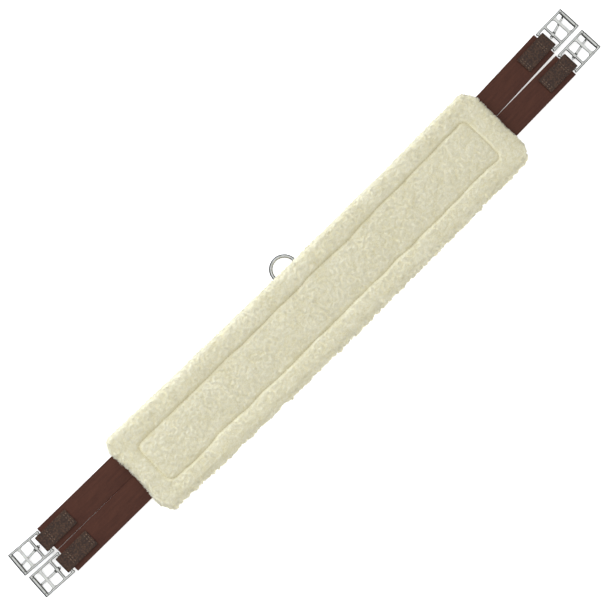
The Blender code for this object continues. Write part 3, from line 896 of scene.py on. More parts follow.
@dataclass
class Liner:
    """The detachable liner: wool pile on a knitted backing, with its rolled edge, seam and loop tape."""

    frame: dict
    coarse: float = 6 * MM  # spacing of the grid that is simulated
    skin_top: float = 18.4 * MM  # height of the pile's dense part before it is stuffed
    seam_front: tuple[float, float, float] = (26.5 * MM, 23.6 * MM, 30.5 * MM)
    seam_rear: tuple[float, float, float] = (-43.5 * MM, -46.2 * MM, -45.4 * MM)
    seam_ends: tuple[float, float] = (34.5 * MM, 37.0 * MM)  # from the left and right ends
    seam_corner: float = 11 * MM
    seam_wander: float = 1.6 * MM
    wander_gain: float = 1.6  # noise seldom reaches 1
    seams_apart: float = 70 * MM  # between the long seams, near enough to space the grid
    seam_bow: float = 1.4 * MM  # of the seam's short ends
    rows_to_seam: tuple[float, ...] = (0, 0.26, 0.38, 0.52, 0.68, 0.85)  # from the edge at 0 to the seam at 1
    seam_depth: float = 2.3 * MM
    seam_width: float = 2.0 * MM
    top_round: float = 10 * MM  # of the CAD solid, which marks the heights where its plan is full
    rim_width: float = 13.5 * MM
    hollow: float = 4.6 * MM  # of the left end, between the straps
    hollow_half: float = 52 * MM
    fill: float = 0.7
    pressure: float = 4.0
    bending: float = 0.5
    frames: int = 20
    sewn_share: float = 0.55  # of the grid's spacing, to either side of the seam, that is held
    held_below: float = 9 * MM
    puff_most: float = 4.0 * MM
    puff_sideways: float = 0.2  # the share of the swelling that the rolled edge takes outwards
    clump: float = 6.5 * MM
    clump_rise: float = 0.6 * MM
    clump_reach: float = 0.75  # of a clump's dome, as a share of the clumps' size
    clump_painted_light: tuple[float, float] = (0.45, 0.4)  # the tip colour's share on the clumps' tops, on top and at the sides; the root colour left between them is painted shade
    swell_rise: float = 1.0 * MM
    swell_size: float = 35 * MM
    grain_rise: float = 0.2 * MM
    grain_size: float = 1.9 * MM
    ragged: float = 2.9 * MM  # how far the rear edge's tufts stand out and back
    ragged_size: tuple[float, float] = (6 * MM, 12 * MM)  # along the edge and up it
    ragged_below: float = 13 * MM
    seam_smooths: float = 0.7  # the share of the clumps' rise that the seam takes away
    seam_presses: float = 0.8  # the share of its depth that isn't left to the simulation
    lock_length: float = 2.7 * MM
    lock_radius: float = 0.45 * MM
    lock_pitch: float = 1.42 * MM
    lock_pieces: int = 4
    lock_root: float = 0.4 * MM  # how deep a lock is planted
    lock_tall: tuple[float, float] = (0.95, 0.3)  # of its length: the mean, and how far it varies
    lock_wide: tuple[float, float] = (1.05, 0.25)
    lean_to_clump: float = 0.5
    lean_astray: float = 0.9
    lean_share: float = 0.75
    seam_bare: float = 0.7 * MM  # without locks, to either side of the seam
    seam_short: tuple[float, float] = (3 * MM, 0.55)  # how near the seam locks are short, and how short
    seam_upright: tuple[float, float] = (5 * MM, 0.5)  # how near it they lean less, and how much less
    ring_room: float = 4 * MM  # kept free of locks above the ring's pocket
    seam_thread: float = 0.42 * MM
    stitch: float = 3.6 * MM
    stitch_pitch: float = 4.2 * MM
    soft_shading: float = 0.5  # how far a lock is lit as the pile's surface is, not as its own sides are

    # The rolled edge in section: how far inside the outline each row lies, and its height, from the top
    # row down. The rear edge has a lip below a crease.
    roll: tuple[tuple[float, float], ...] = (
        (6.0, 18.6), (3.0, 15.6), (1.4, 11.6), (1.2, 7.8), (2.6, 4.4), (5.4, 2.4),
    )  # fmt: skip
    lip: tuple[tuple[float, float], ...] = (
        (12.0, 18.8), (8.6, 16.4), (6.8, 13.4), (2.4, 11.4), (0.8, 6.6), (4.0, 2.4),
    )  # fmt: skip

    def __post_init__(self) -> None:
        """Reads the liner's plan off its CAD solid."""
        node = self.frame["nodes"]["fleece_liner"]
        self.low, self.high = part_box("fleece_liner")
        level = self.high.z - self.top_round
        points = [v.co for v in node.data.vertices if abs(v.co.z - level) < 0.05 * MM]
        front = sorted({(round(p.x, 6), round(p.y, 6)) for p in points if p.y > 0})
        rear = sorted({(round(p.x, 6), round(p.y, 6)) for p in points if p.y < 0})
        self.front_line = np.array(front)
        self.rear_line = np.array(rear)
        self.seam_x = (self.low.x + self.seam_ends[0], self.high.x - self.seam_ends[1])
        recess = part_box("liner_backing")[1].z
        self.ceiling = recess + 0.3 * MM
        self.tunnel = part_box("left_front_elastic")[1].z + 1 * MM
        ring_low, ring_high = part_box("centre_ring")
        self.pocket = (ring_low.x - 3 * MM, ring_high.x + 3 * MM, ring_high.z + 1.5 * MM)
        self.straps = (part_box("left_rear_elastic")[0].y - MM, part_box("left_front_elastic")[1].y + MM)

    def front(self, x: float) -> float:
        """Returns the front edge's Y at an X."""
        return float(np.interp(x, self.front_line[:, 0], self.front_line[:, 1]))

    def rear(self, x: float) -> float:
        """Returns the rear edge's Y at an X."""
        return float(np.interp(x, self.rear_line[:, 0], self.rear_line[:, 1]))

    def seam_line(self, x: float, front: bool) -> float:
        """Returns a long seam's Y at an X: a parabola through three values, with a slow wander."""
        left, middle, right = self.seam_front if front else self.seam_rear
        turn = 1.0 if front else 7.0
        half = (self.high.x - self.low.x) / 2
        share = (x - (self.low.x + self.high.x) / 2) / half
        y = middle + (right - left) / 2 * share + ((left + right) / 2 - middle) * share**2
        wander = noise.noise(Vector((x / 0.062, turn, 0.0)))
        wander += 0.5 * noise.noise(Vector((x / 0.027, turn, 4.0)))
        return y + self.seam_wander * self.wander_gain * wander

    def from_seam(self, x: float, y: float) -> float:
        """Returns the distance from a place to the seam, in plan."""
        clamped = min(max(x, self.seam_x[0]), self.seam_x[1])
        y_low, y_high = self.seam_line(clamped, False), self.seam_line(clamped, True)
        bow = self.seam_bow * noise.noise(Vector((y / 0.03, 9.0 if x < 0 else 11.0, 0)))
        middle = ((self.seam_x[0] + self.seam_x[1]) / 2 + bow, (y_low + y_high) / 2)
        half = ((self.seam_x[1] - self.seam_x[0]) / 2, (y_high - y_low) / 2)
        dx = abs(x - middle[0]) - half[0] + self.seam_corner
        dy = abs(y - middle[1]) - half[1] + self.seam_corner
        outside = math.hypot(max(dx, 0), max(dy, 0)) + min(max(dx, dy), 0)
        return abs(outside - self.seam_corner)

    def stations(self, length: float, band: float) -> list[float]:
        """Spaces grid lines: closely from an edge to the seam, then evenly to the far seam and edge.

        Args:
            length: the whole span.
            band: the edge's distance to the seam at both ends.

        Returns:
            Places from 0 to 1, in three stretches that each span one unit: band, middle, band.
        """
        middle = max(2, round((length - 2 * band) / self.coarse))
        stretch = [1 + k / middle for k in range(middle)]
        return [*self.rows_to_seam, *stretch, 2, *(3 - s for s in reversed(self.rows_to_seam))]

    def base_form(self) -> Form:
        """Builds the liner's coarse closed form from a grid that is extruded down.

        Returns:
            The closed form, its underside's ceiling included.
        """
        width = self.high.y - self.low.y
        across = self.stations(width, (width - self.seams_apart) / 2)
        along = self.stations(self.high.x - self.low.x, self.seam_ends[0])
        bm = bmesh.new()
        bmesh.ops.create_grid(bm, x_segments=len(along) - 1, y_segments=len(across) - 1, size=0.5)
        region = bm.faces[:]
        levels = len(self.roll) - 1
        for level in range(levels):
            made = bmesh.ops.extrude_face_region(bm, geom=region)["geom"]
            if level:  # only the first layer, the underside, stays
                bmesh.ops.delete(bm, geom=region, context="FACES")
            region = [item for item in made if isinstance(item, bmesh.types.BMFace)]
            lifted = [item for item in made if isinstance(item, bmesh.types.BMVert)]
            bmesh.ops.translate(bm, verts=lifted, vec=(0, 0, 1))
        for v in bm.verts:
            u = float(np.interp(v.co.x + 0.5, np.linspace(0, 1, len(along)), along))
            w = float(np.interp(v.co.y + 0.5, np.linspace(0, 1, len(across)), across))
            place, normal = self.in_plan(u, w)
            row = levels - round(v.co.z)
            if normal.length:
                inset, z = self.section(row, normal)
                v.co = (*(place - normal * inset), z)
            else:
                v.co = (*place, self.underside(place) if row else self.skin_top)
        bmesh.ops.remove_doubles(bm, verts=bm.verts, dist=0.2 * MM)  # a cloth can't have edges of no length
        bmesh.ops.recalc_face_normals(bm, faces=bm.faces)
        return bm

    def in_plan(self, u: float, w: float) -> tuple[Vector, Vector]:
        """Places a grid point, given in bands from 0 to 3 each way, and gives the outline's normal there.

        Args:
            u: along the girth: 0 to 1 is the left band, 1 to 2 the middle, 2 to 3 the right band.
            w: across it, from the rear edge to the front edge, in the same way.

        Returns:
            The place and the outward direction in plan.
        """
        x = float(np.interp(u, (0, 1, 2, 3), (self.low.x, *self.seam_x, self.high.x)))
        seam_x = min(max(x, self.seam_x[0]), self.seam_x[1])
        lines = (
            self.rear(x),
            self.seam_line(seam_x, False),
            self.seam_line(seam_x, True),
            self.front(x),
        )
        y = float(np.interp(w, (0, 1, 2, 3), lines))
        hollow = max(0.0, 1 - (y / self.hollow_half) ** 2) ** 2
        x += self.hollow * hollow * max(0.0, 1 - u)
        normal = Vector((0.0, 0.0))
        if w < 1e-6 or w > 3 - 1e-6:
            line = self.rear if w < 1 else self.front
            step = 1 * MM
            slope = (line(x + step) - line(x - step)) / (2 * step)
            normal = Vector((-slope, 1.0)).normalized() * (1 if w > 1 else -1)
        if u < 1e-6 or u > 3 - 1e-6:
            end = Vector((1.0 if u > 1 else -1.0, 0.0))
            normal = (normal + end).normalized() if normal.length else end
        return Vector((x, y)), normal

    def section(self, row: int, normal: Vector) -> tuple[float, float]:
        """Returns a rim row's inset and height, between the plain roll and the rear edge's lip."""
        lip = min(1.0, max(0.0, -normal.y)) ** 3
        a, b = self.roll[row], self.lip[row]
        return tuple((a[i] * (1 - lip) + b[i] * lip) * MM for i in range(2))

    def underside(self, place: Vector) -> float:
        """Returns the height of the liner's underside at a place: its rim, tunnels, pocket or ceiling."""
        rear_side = place.y < 0 and place.y - self.rear(place.x) < self.rim_width + 2 * MM
        if self.inside(place) > self.rim_width + (2 * MM if rear_side else 0):
            return self.ceiling
        near_end = min(place.x - self.low.x, self.high.x - place.x) < self.rim_width
        if near_end and self.straps[0] < place.y < self.straps[1]:
            return self.tunnel
        if self.pocket[0] < place.x < self.pocket[1] and place.y > 0:
            return self.pocket[2]
        return self.low.z + 0.6 * MM

    def inside(self, p: Vector) -> float:
        """Returns how far inside the liner's outline a place is, in plan."""
        return min(p.x - self.low.x, self.high.x - p.x, p.y - self.rear(p.x), self.front(p.x) - p.y)

    def stuffed(self, bm: Form) -> Mesh:
        """Presses the seam down and lets the pile swell round it as cloth under pressure.

        Args:
            bm: the coarse closed form.

        Returns:
            The swollen form's mesh.
        """
        held = []
        for v in bm.verts:
            top = v.normal.z > 0.3 or v.co.z > 0.8 * self.skin_top
            sewn = top and self.from_seam(v.co.x, v.co.y) < self.sewn_share * self.coarse
            if sewn:
                v.co.z -= 0.5 * self.seam_depth
            held.append(sewn or v.co.z < self.held_below or abs(v.co.z - self.ceiling) < 0.1 * MM)
        rest = [v.co.copy() for v in bm.verts]
        mesh = mesh_from(bm, "liner_form")
        obj = placed("liner_form", mesh)
        group = obj.vertex_groups.new(name="held")
        group.add([i for i, fixed in enumerate(held) if fixed], 1.0, "REPLACE")
        cloth = obj.modifiers.new("stuffing", "CLOTH")
        cloth.settings.vertex_group_mass = group.name
        cloth.settings.use_pressure = True
        cloth.settings.uniform_pressure_force = self.pressure
        cloth.settings.effector_weights.gravity = 0.0
        cloth.settings.bending_stiffness = self.bending
        scene = bpy.context.scene
        cloth.point_cache.frame_start, cloth.point_cache.frame_end = 1, self.frames
        for number in range(1, self.frames + 1):
            scene.frame_set(number)
        swollen = evaluated(obj)
        scene.frame_set(1)
        moves = [v.co - co for v, co in zip(swollen.vertices, rest)]
        LOG.info("the liner swells by up to %.1f mm", max(m.length for m in moves) / MM)
        for v, co, move in zip(swollen.vertices, rest, moves):
            share = self.puff_most / (self.puff_most + move.length)
            v.co = co + move * share * Vector((self.puff_sideways, self.puff_sideways, 1.0))
        return swollen

    def skin(self) -> Mesh:
        """Makes the pile's dense part: the swollen form, refined, with its seam and its clumps.

        Returns:
            The mesh, with the pile attribute, which paints shade between the clumps, along the seam and
            underneath, and a little more on the sides.
        """
        obj = placed("liner_skin", self.stuffed(self.base_form()))
        finer = obj.modifiers.new("finer", "SUBSURF")
        finer.levels = finer.render_levels = 2
        mesh = evaluated(obj)
        normals = np.empty(len(mesh.vertices) * 3, np.float32)
        mesh.vertex_normals.foreach_get("vector", normals)
        normals = normals.reshape(-1, 3)
        # the pile attribute starts at 0, the root colour, so places skipped below keep painted shade
        heights = np.zeros(len(mesh.vertices), np.float32)
        for v in mesh.vertices:
            p, n = v.co.copy(), Vector(normals[v.index])
            if p.z < 8 * MM and n.z < 0.2 and not self.near_outline(p):
                continue
            if p.z > self.ceiling - 2 * MM and n.z < -0.3:
                continue
            near = noise.voronoi(p / self.clump)[0]
            dome = 1 - min(1.0, near[0] / self.clump_reach) ** 2
            swell = noise.fractal(p / self.swell_size, 1.0, 2.0, 2)
            fine = noise.noise(p / self.grain_size)
            lift = self.clump_rise * (dome - 0.5) + self.swell_rise * swell + self.grain_rise * fine
            if n.y < -0.2 and p.z < self.ragged_below:
                along, up = self.ragged_size
                tuft = noise.noise(Vector((p.x / along, p.z / up, 2.0))) - 0.1
                lift += self.ragged * tuft * min(1.0, -1.5 * n.y)
            if n.z > 0.2:
                seam = math.exp(-((self.from_seam(p.x, p.y) / self.seam_width) ** 2))
                lift = lift * (1 - self.seam_smooths * seam) - self.seam_depth * seam * self.seam_presses
                # painted shade: the root colour between the clumps and along the seam's valley
                heights[v.index] = self.clump_painted_light[0] * dome * (1 - seam)
            else:
                # painted shade between the clumps, a little darker here on the sides
                heights[v.index] = self.clump_painted_light[1] * dome
            v.co = p + n * lift
        level = mesh.attributes.new("pile", "FLOAT", "POINT")
        level.data.foreach_set("value", heights)
        mesh.update()
        return mesh

    def near_outline(self, p: Vector) -> bool:
        """Says whether a place is on the outer side of the rim."""
        return self.inside(p) < 6 * MM

    def lock_shape(self) -> Mesh:
        """Returns one lock of wool, one unit long: a three-sided taper that leans over."""
        bm = bmesh.new()
        bmesh.ops.create_cone(bm, cap_ends=True, segments=3, radius1=1.0, radius2=0.42, depth=1.0)
        bmesh.ops.translate(bm, verts=bm.verts, vec=(0, 0, 0.5))
        slender = self.lock_radius / self.lock_length
        for v in bm.verts:
            v.co.x = v.co.x * slender + 0.34 * v.co.z
            v.co.y *= slender
        mesh = mesh_from(bm, "lock")
        # painted shade: each lock's colour darkens towards its root, deep in the pile
        level = mesh.attributes.new("pile", "FLOAT", "POINT")
        level.data.foreach_set("value", [0.25 + 0.75 * v.co.z for v in mesh.vertices])
        return mesh

    def lock_places(self, skin: Mesh) -> tuple[np.ndarray, np.ndarray]:
        """Plants the locks: each leans towards the middle of its clump.

        Args:
            skin: the dense pile's mesh.

        Returns:
            One matrix for each lock, ordered along the girth, and the surface's direction under each.
        """
        random = np.random.default_rng(SEED)
        places = []
        per_lock = self.lock_pitch**2
        for face in skin.polygons:
            middle, n = face.center, face.normal
            if n.z < -0.35 or (middle.z < self.held_below and not self.near_outline(middle)):
                continue
            for _ in range(int(face.area / per_lock + random.random())):
                rolls = random.random(8) * 2 - 1
                shift = Vector(rolls[:3]) * (0.5 * math.sqrt(face.area))
                p = middle + shift - n * shift.dot(n)
                seam = self.from_seam(p.x, p.y) if n.z > 0.3 else 1.0
                over_ring = self.pocket[0] < p.x < self.pocket[1] and p.y > 0
                over_ring = over_ring and p.z < self.pocket[2] + self.ring_room
                if seam < self.seam_bare or over_ring:
                    continue
                toward = noise.voronoi(p / self.clump)[1][0] * self.clump - p
                toward -= n * toward.dot(n)
                side = Vector(rolls[3:6])
                lean = toward.normalized() * self.lean_to_clump + (side - n * side.dot(n)) * self.lean_astray
                if seam < self.seam_upright[0]:
                    lean *= self.seam_upright[1]
                tall = self.lock_length * (self.lock_tall[0] + self.lock_tall[1] * rolls[6])
                if seam < self.seam_short[0]:
                    tall *= self.seam_short[1]
                axis = (n + lean * self.lean_share).normalized()
                bend = lean - axis * lean.dot(axis)
                bend = bend.normalized() if bend.length > 1e-6 else axis.orthogonal()
                turn = Matrix((bend, axis.cross(bend), axis)).transposed().to_4x4()
                wide = tall * (self.lock_wide[0] + self.lock_wide[1] * rolls[7])
                size = Matrix.Diagonal((wide, wide, tall, 1.0))
                places.append((Matrix.Translation(p - n * self.lock_root) @ turn @ size, tuple(n)))
        places.sort(key=lambda pair: pair[0].translation.x)
        return stacked(place for place, _ in places), np.array([n for _, n in places])

    def lit_as_skin(self, mesh: Mesh, normals: np.ndarray) -> None:
        """Turns the locks' shading normals most of the way to the pile's surface, as soft wool is lit.

        Args:
            mesh: the locks, one after another.
            normals: the surface's direction under each lock.
        """
        mesh.shade_smooth()
        own = np.empty(len(mesh.vertices) * 3, np.float32)
        mesh.vertex_normals.foreach_get("vector", own)
        under = np.repeat(normals, len(mesh.vertices) // len(normals), axis=0)
        turned = own.reshape(-1, 3) * (1 - self.soft_shading) + under * self.soft_shading
        turned /= np.linalg.norm(turned, axis=1, keepdims=True)
        mesh.normals_split_custom_set_from_vertices(turned)

    def seam_path(self, steps: int = 160, corner_steps: int = 8) -> list[Vector]:
        """Returns the points of the closed seam in plan, with so many steps along it and round a corner."""
        radius = self.seam_corner
        left, right = self.seam_x

        def corner(quarter: int) -> list[Vector]:
            edge, side = (right, -1) if quarter < 2 else (left, 1)
            front = quarter in (0, 3)
            middle_y = self.seam_line(edge, front) + (-radius if front else radius)
            turns = [math.pi / 2 * (1 - quarter - k / corner_steps) for k in range(1, corner_steps)]
            middle = Vector((edge + side * radius, middle_y, 0))
            return [middle + Vector((math.cos(a), math.sin(a), 0)) * radius for a in turns]

        spread = [left + radius + (right - left - 2 * radius) * k / steps for k in range(steps + 1)]
        points = [Vector((x, self.seam_line(x, True), 0)) for x in spread]
        points += corner(0) + corner(1)
        points += [Vector((x, self.seam_line(x, False), 0)) for x in reversed(spread)]
        points += corner(2) + corner(3)
        return points + points[:1]

    def build(self) -> list[Piece]:
        """Builds and dresses the liner.

        Returns:
            Its pieces.
        """
        skin = self.skin()
        fleece = piece("fleece_pile", skin, PILE, ["fleece_liner"], 180)
        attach(fleece, "liner")
        made = [fleece]
        places, normals = self.lock_places(skin)
        LOG.info("%d locks of wool", len(places))
        lock = self.lock_shape()
        parts = zip(np.array_split(places, self.lock_pieces), np.array_split(normals, self.lock_pieces))
        for k, (part, under) in enumerate(parts):
            name = f"fleece_locks_{k + 1}"
            mesh = repeated(name, lock, part)
            self.lit_as_skin(mesh, under)
            made.append(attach(piece(name, mesh, PILE, (), None), "liner"))
        return [*made, self.thread(fleece), *self.cloths()]

    def thread(self, fleece: Piece) -> Piece:
        """Sews the seam in the pile's valley."""
        places = []
        for place in stitch_places(self.seam_path(), self.stitch_pitch, UP):
            origin = Vector((*place.translation.xy, self.high.z + 10 * MM))
            hit, at, _, _ = fleece.ray_cast(origin, -UP)
            if hit:
                place.translation = at + UP * 0.1 * MM
                places.append(place)
        shape = stitch_shape(self.stitch, self.seam_thread)
        mesh = repeated("liner_seam_thread", shape, stacked(places))
        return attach(piece("liner_seam_thread", mesh, LINER_THREAD), "liner")

    def cloths(self) -> list[Piece]:
        """Dresses the knitted backing and the loop tape."""
        made = []
        backing = NarrowWeave("Knitted_Backing", dark="#BDB491", light="#DDD6B8", thread=1.6 * MM)
        loops = NarrowWeave("Loop_Tape", dark="#A9A07C", light="#D3CBA8", thread=0.9 * MM, depth=0.4 * MM)
        for node, finish, slot in (("liner_backing", backing, "backing"), ("loop_tape", loops, "tape")):
            obj = plate(self.frame, node, finish, 0.3 * MM)
            made.append(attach(obj, "liner"))
        return made


def plate(
    frame: dict, node: str, finish: Finish, edge: float, segments: int = 2
) -> Piece:
    """Rebuilds a flat CAD plate with soft edges.

    Args:
        frame: the loaded frame.
        node: the CAD node it stands for.
        finish: its finish.
        edge: how much its edges are rounded.
        segments: how many faces each edge gets.

    Returns:
        The piece, which still has to ride.
    """
    bm = merged_copy(frame["nodes"][node], Matrix.Identity(4))
    bmesh.ops.dissolve_limit(bm, angle_limit=math.radians(1), verts=bm.verts, edges=bm.edges)
    low = min(v.co.z for v in bm.verts)
    high = max(v.co.z for v in bm.verts)

    def in_face(edge: bmesh.types.BMEdge, level: float) -> bool:
        return all(abs(v.co.z - level) < LEVEL_WITHIN for v in edge.verts)

    rims = [e for e in bm.edges if in_face(e, low) or in_face(e, high)]
    rounded(bm, rims, edge, segments)
    closed(bm)
    return piece(f"{node}_finished", laid(bm, f"{node}_soft"), finish, [node], 50)


# ---------------------------------------------------------------------------------------------- the body


@dataclass
class GirthBody:
    """The leather body: outer leather, lining, the webbing between them and the hook tape, all sewn."""

    frame: dict
    edge: float = 1.0 * MM
    stitch_inset: float = 5 * MM
    stitch_pitch: float = 4.2 * MM
    stitch_length: float = 3.3 * MM
    thread: float = 0.45 * MM

    def build(self) -> list[Piece]:
        """Builds and dresses the body.

        Returns:
            Its pieces.
        """
        webbing = NarrowWeave("Cotton_Load_Webbing", dark="#33241D", light="#4D382D", thread=1.5 * MM)
        hooks = NarrowWeave("Hook_Tape", dark="#A79E7C", light="#D9D2B0", thread=1.0 * MM, depth=0.5 * MM)
        made = [
            plate(self.frame, node, finish, edge, segments)
            for node, finish, slot, edge, segments in (
                ("outer_leather", BridleLeather(), "outer_leather", self.edge, 4),
                ("lining_leather", SplitLeather(), "lining_leather", 0.5 * MM, 3),
                ("core_webbing", webbing, "webbing", 0.8 * MM, 2),
                ("hook_tape", hooks, "tape", 0.3 * MM, 2),
            )
        ]
        made += [self.sewing("outer_leather", -1), self.sewing("lining_leather", 1)]
        for obj in made:
            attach(obj, "girth_body")
        return made

    def sewing(self, node: str, side: int) -> Piece:
        """Sews round a leather's edge.

        Args:
            node: the CAD node that is sewn.
            side: 1 for its upper face, -1 for its lower one.

        Returns:
            The stitches.
        """
        low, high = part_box(node)
        z = (high.z if side > 0 else low.z) + side * 0.15 * self.thread
        path = [Vector((p.x, p.y, z)) for p in plan_outline(self.frame["nodes"][node], self.stitch_inset)]
        places = stitch_places(path, self.stitch_pitch, UP)
        shape = stitch_shape(self.stitch_length, self.thread)
        name = f"{node}_stitches"
        mesh = repeated(name, shape, stacked(places))
        return piece(name, mesh, BODY_THREAD)


# ---------------------------------------------------------------------------------------------- the ring


@dataclass
class RingSet:
    """The plated ring on the front edge, and the folded leather keeper that holds it."""

    frame: dict
    ring_steps: int = 96
    wire_steps: int = 20
    keeper_thick: float = 1.2 * MM
    keeper_gap: float = 0.15 * MM  # from the middle of the fold to each leg
    keeper_ramp: float = 5.2 * MM

    def __post_init__(self) -> None:
        """Finds the ring's pivot."""
        joint = next(j for j in self.frame["joints"] if j["name"] == "ring_swing")
        self.pivot = Vector(joint["pos_m"])

    def build(self) -> list[Piece]:
        """Returns the ring and its keeper."""
        return [self.ring(), self.keeper()]

    def ring(self) -> Piece:
        """Spins the ring's wire once round."""
        low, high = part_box("centre_ring")
        wire = high.z - self.pivot.z
        mean = (high.x - low.x) / 2 - wire
        drop = (high.z - wire) - (low.z + wire)
        bm = bmesh.new()
        section = bmesh.ops.create_circle(bm, segments=self.wire_steps, radius=wire)["verts"]
        bmesh.ops.rotate(bm, verts=section, matrix=Matrix.Rotation(math.pi / 2, 3, "X"))
        bmesh.ops.translate(bm, verts=section, vec=(mean, 0, 0))
        spun(bm, UP, self.ring_steps)
        tilt = Matrix.Rotation(-math.asin(drop / (2 * mean)), 4, "X")
        mesh = laid(bm, "ring_smooth")
        mesh.transform(Matrix.Translation((low + high) / 2) @ tilt)
        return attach(piece("ring_plated", mesh, NICKEL, ["centre_ring"], 80), "ring")

    def keeper(self) -> Piece:
        """Folds the keeper's strip round the ring's wire."""
        low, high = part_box("ring_keeper")
        half = self.keeper_thick / 2
        reach = high.z - self.pivot.z - half
        slack = high.y - self.pivot.y - reach - half
        fold = Fold(low.y - self.pivot.y, half + self.keeper_gap, self.keeper_ramp, slack, reach, 14, 90)
        mesh = fold.strip("keeper_folded", high.x - low.x, self.keeper_thick)
        mesh.transform(Matrix.Translation(self.pivot) @ Matrix.Rotation(math.pi / 2, 4, "Z"))
        obj = piece("ring_keeper_folded", mesh, CHAPE_LEATHER, ["ring_keeper"], 50)
        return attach(obj, "girth_body")


# ---------------------------------------------------------------------------------------------- the straps


@dataclass
class Strap:
    """One elastic strap with its chape and roller buckle."""

    frame: dict
    name: str
    shared: dict[str, Mesh]
    bend_before: float = 8 * MM  # how far the strap's bend reaches either side of its pivot
    bend_after: float = 14 * MM
    split: float = 20 * MM  # where the part that bends meets the part that stretches
    edge: float = 0.8 * MM
    # The woven edge's loops past the elastic's width, at the liner and the buckle, of left and right straps
    selvedges: tuple[tuple[float, float], ...] = ((0.47 * MM, 0.47 * MM), (0.45 * MM, 0.2 * MM))
    main_stretches_to: float = 47 * MM  # short of the end, where the chape's leg starts
    steps: tuple[float, float] = (2 * MM, 3 * MM)  # between cuts across the root and the main part
    chape_thick: float = 2.2 * MM
    chape_gap: float = 0.3 * MM
    chape_ramp: float = 4 * MM
    chape_slack: float = 1.9 * MM
    elastic_half: float = 1.5 * MM  # of its thickness
    stitch: float = 3.0 * MM
    stitch_pitch: float = 4.6 * MM
    thread: float = 0.52 * MM
    rows_at_end: tuple[float, float] = (3 * MM, 6.5 * MM)  # from the chape's end
    rows_at_bar: tuple[float, float] = (-12.5 * MM, -9.0 * MM)  # from the bar's axis
    rows_inset: float = 3.2 * MM
    cast_voxel: float = 0.3 * MM
    tongue_voxel: float = 0.2 * MM
    roller_wall: float = 1.3 * MM
    roller_lip: float = 0.5 * MM

    def __post_init__(self) -> None:
        """Reads the strap's joints, and works out the axes that its pieces lie along."""
        joints = {j["name"]: j for j in self.frame["joints"]}
        self.end = 1 if self.name.startswith("right") else -1
        bend = Vector(joints[f"{self.name}_bend"]["pos_m"])
        along = Vector(joints[f"{self.name}_stretch"]["axis"])
        bar = Vector(joints[f"{self.name}_buckle_swing"]["pos_m"])
        roller = Vector(joints[f"{self.name}_roller_spin"]["pos_m"])
        tongue = Vector(joints[f"{self.name}_tongue_swing"]["pos_m"])
        self.strap_axes = self.axes(bend, along)
        self.root_axes = self.axes(bend, Vector((self.end, 0, 0)))
        self.chape_axes = self.axes(bar, along)
        self.buckle_axes = self.axes(bar, roller - bar)
        self.roller_axes = self.axes(roller, roller - bar)
        self.tongue_axes = self.axes(tongue, self.tongue_direction(tongue, roller - bar))

    @staticmethod
    def axes(origin: Vector, along: Vector) -> Matrix:
        """Returns axes at a point: X along a direction, Y level and Z up."""
        x = along.normalized()
        y = UP.cross(x).normalized()
        z = x.cross(y)
        return Matrix.Translation(origin) @ Matrix((x, y, z)).transposed().to_4x4()

    def tongue_direction(self, pivot: Vector, along: Vector) -> Vector:
        """Finds which way the tongue lies askew, from the middle of its CAD solid's far half."""
        points = [v.co for v in self.frame["nodes"][f"{self.name}_tongue"].data.vertices]
        flat = along.normalized()
        reach = max((p - pivot).dot(flat) for p in points)
        tip = [p - pivot for p in points if (p - pivot).dot(flat) > 0.93 * reach]
        middle = sum(tip, Vector()) / len(tip)
        across = UP.cross(flat).normalized()
        return flat * middle.dot(flat) + across * middle.dot(across)

    def elastic(self) -> list[Piece]:
        """Builds the strap in two parts: one bends out of the body, the other stretches."""
        node = self.frame["nodes"][f"{self.name}_elastic"]
        low, high = local_box(node, self.strap_axes.inverted())
        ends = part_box(f"{self.name}_elastic")
        root_x = ends[0].x if self.end > 0 else ends[1].x
        root = (root_x - self.strap_axes.translation.x) * self.end
        points = [self.strap_axes.inverted() @ v.co for v in node.data.vertices]
        clear = [p.y for p in points if p.x > self.split]
        half = (max(clear) - min(clear)) / 2
        loops = self.selvedges[self.end > 0]
        made = []
        for part, start, stop, step in (
            ("root", root, self.split, self.steps[0]),
            ("main", self.split, high.x, self.steps[1]),
        ):
            bm = self.strip(start, stop, half, (high.z - low.z) / 2, step)
            mesh = laid(bm, f"{self.name}_{part}")
            for v in mesh.vertices:
                axes = self.root_axes if v.co.x < 0 else self.strap_axes
                v.co.y *= 1 + float(np.interp(v.co.x, (0, high.x), loops)) / half
                v.co = axes @ v.co
            name = f"{self.name}_elastic_{part}"
            stands = [f"{self.name}_elastic"] if part == "main" else []
            obj = piece(name, mesh, WovenElastic(), stands, 40)
            if part == "root":
                start_at = self.root_axes @ Vector((-self.bend_before, 0, 0))
                end_at = self.strap_axes @ Vector((self.bend_after, 0, 0))
                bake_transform(obj, "girth_body", f"{self.name}_strap", start=start_at, end=end_at)
            else:
                start_at = self.strap_axes @ Vector((self.split + MM, 0, 0))
                end_at = self.strap_axes @ Vector((high.x - self.main_stretches_to, 0, 0))
                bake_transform(obj, f"{self.name}_strap", f"{self.name}_strap_end", start=start_at, end=end_at)
            made.append(obj)
        return made

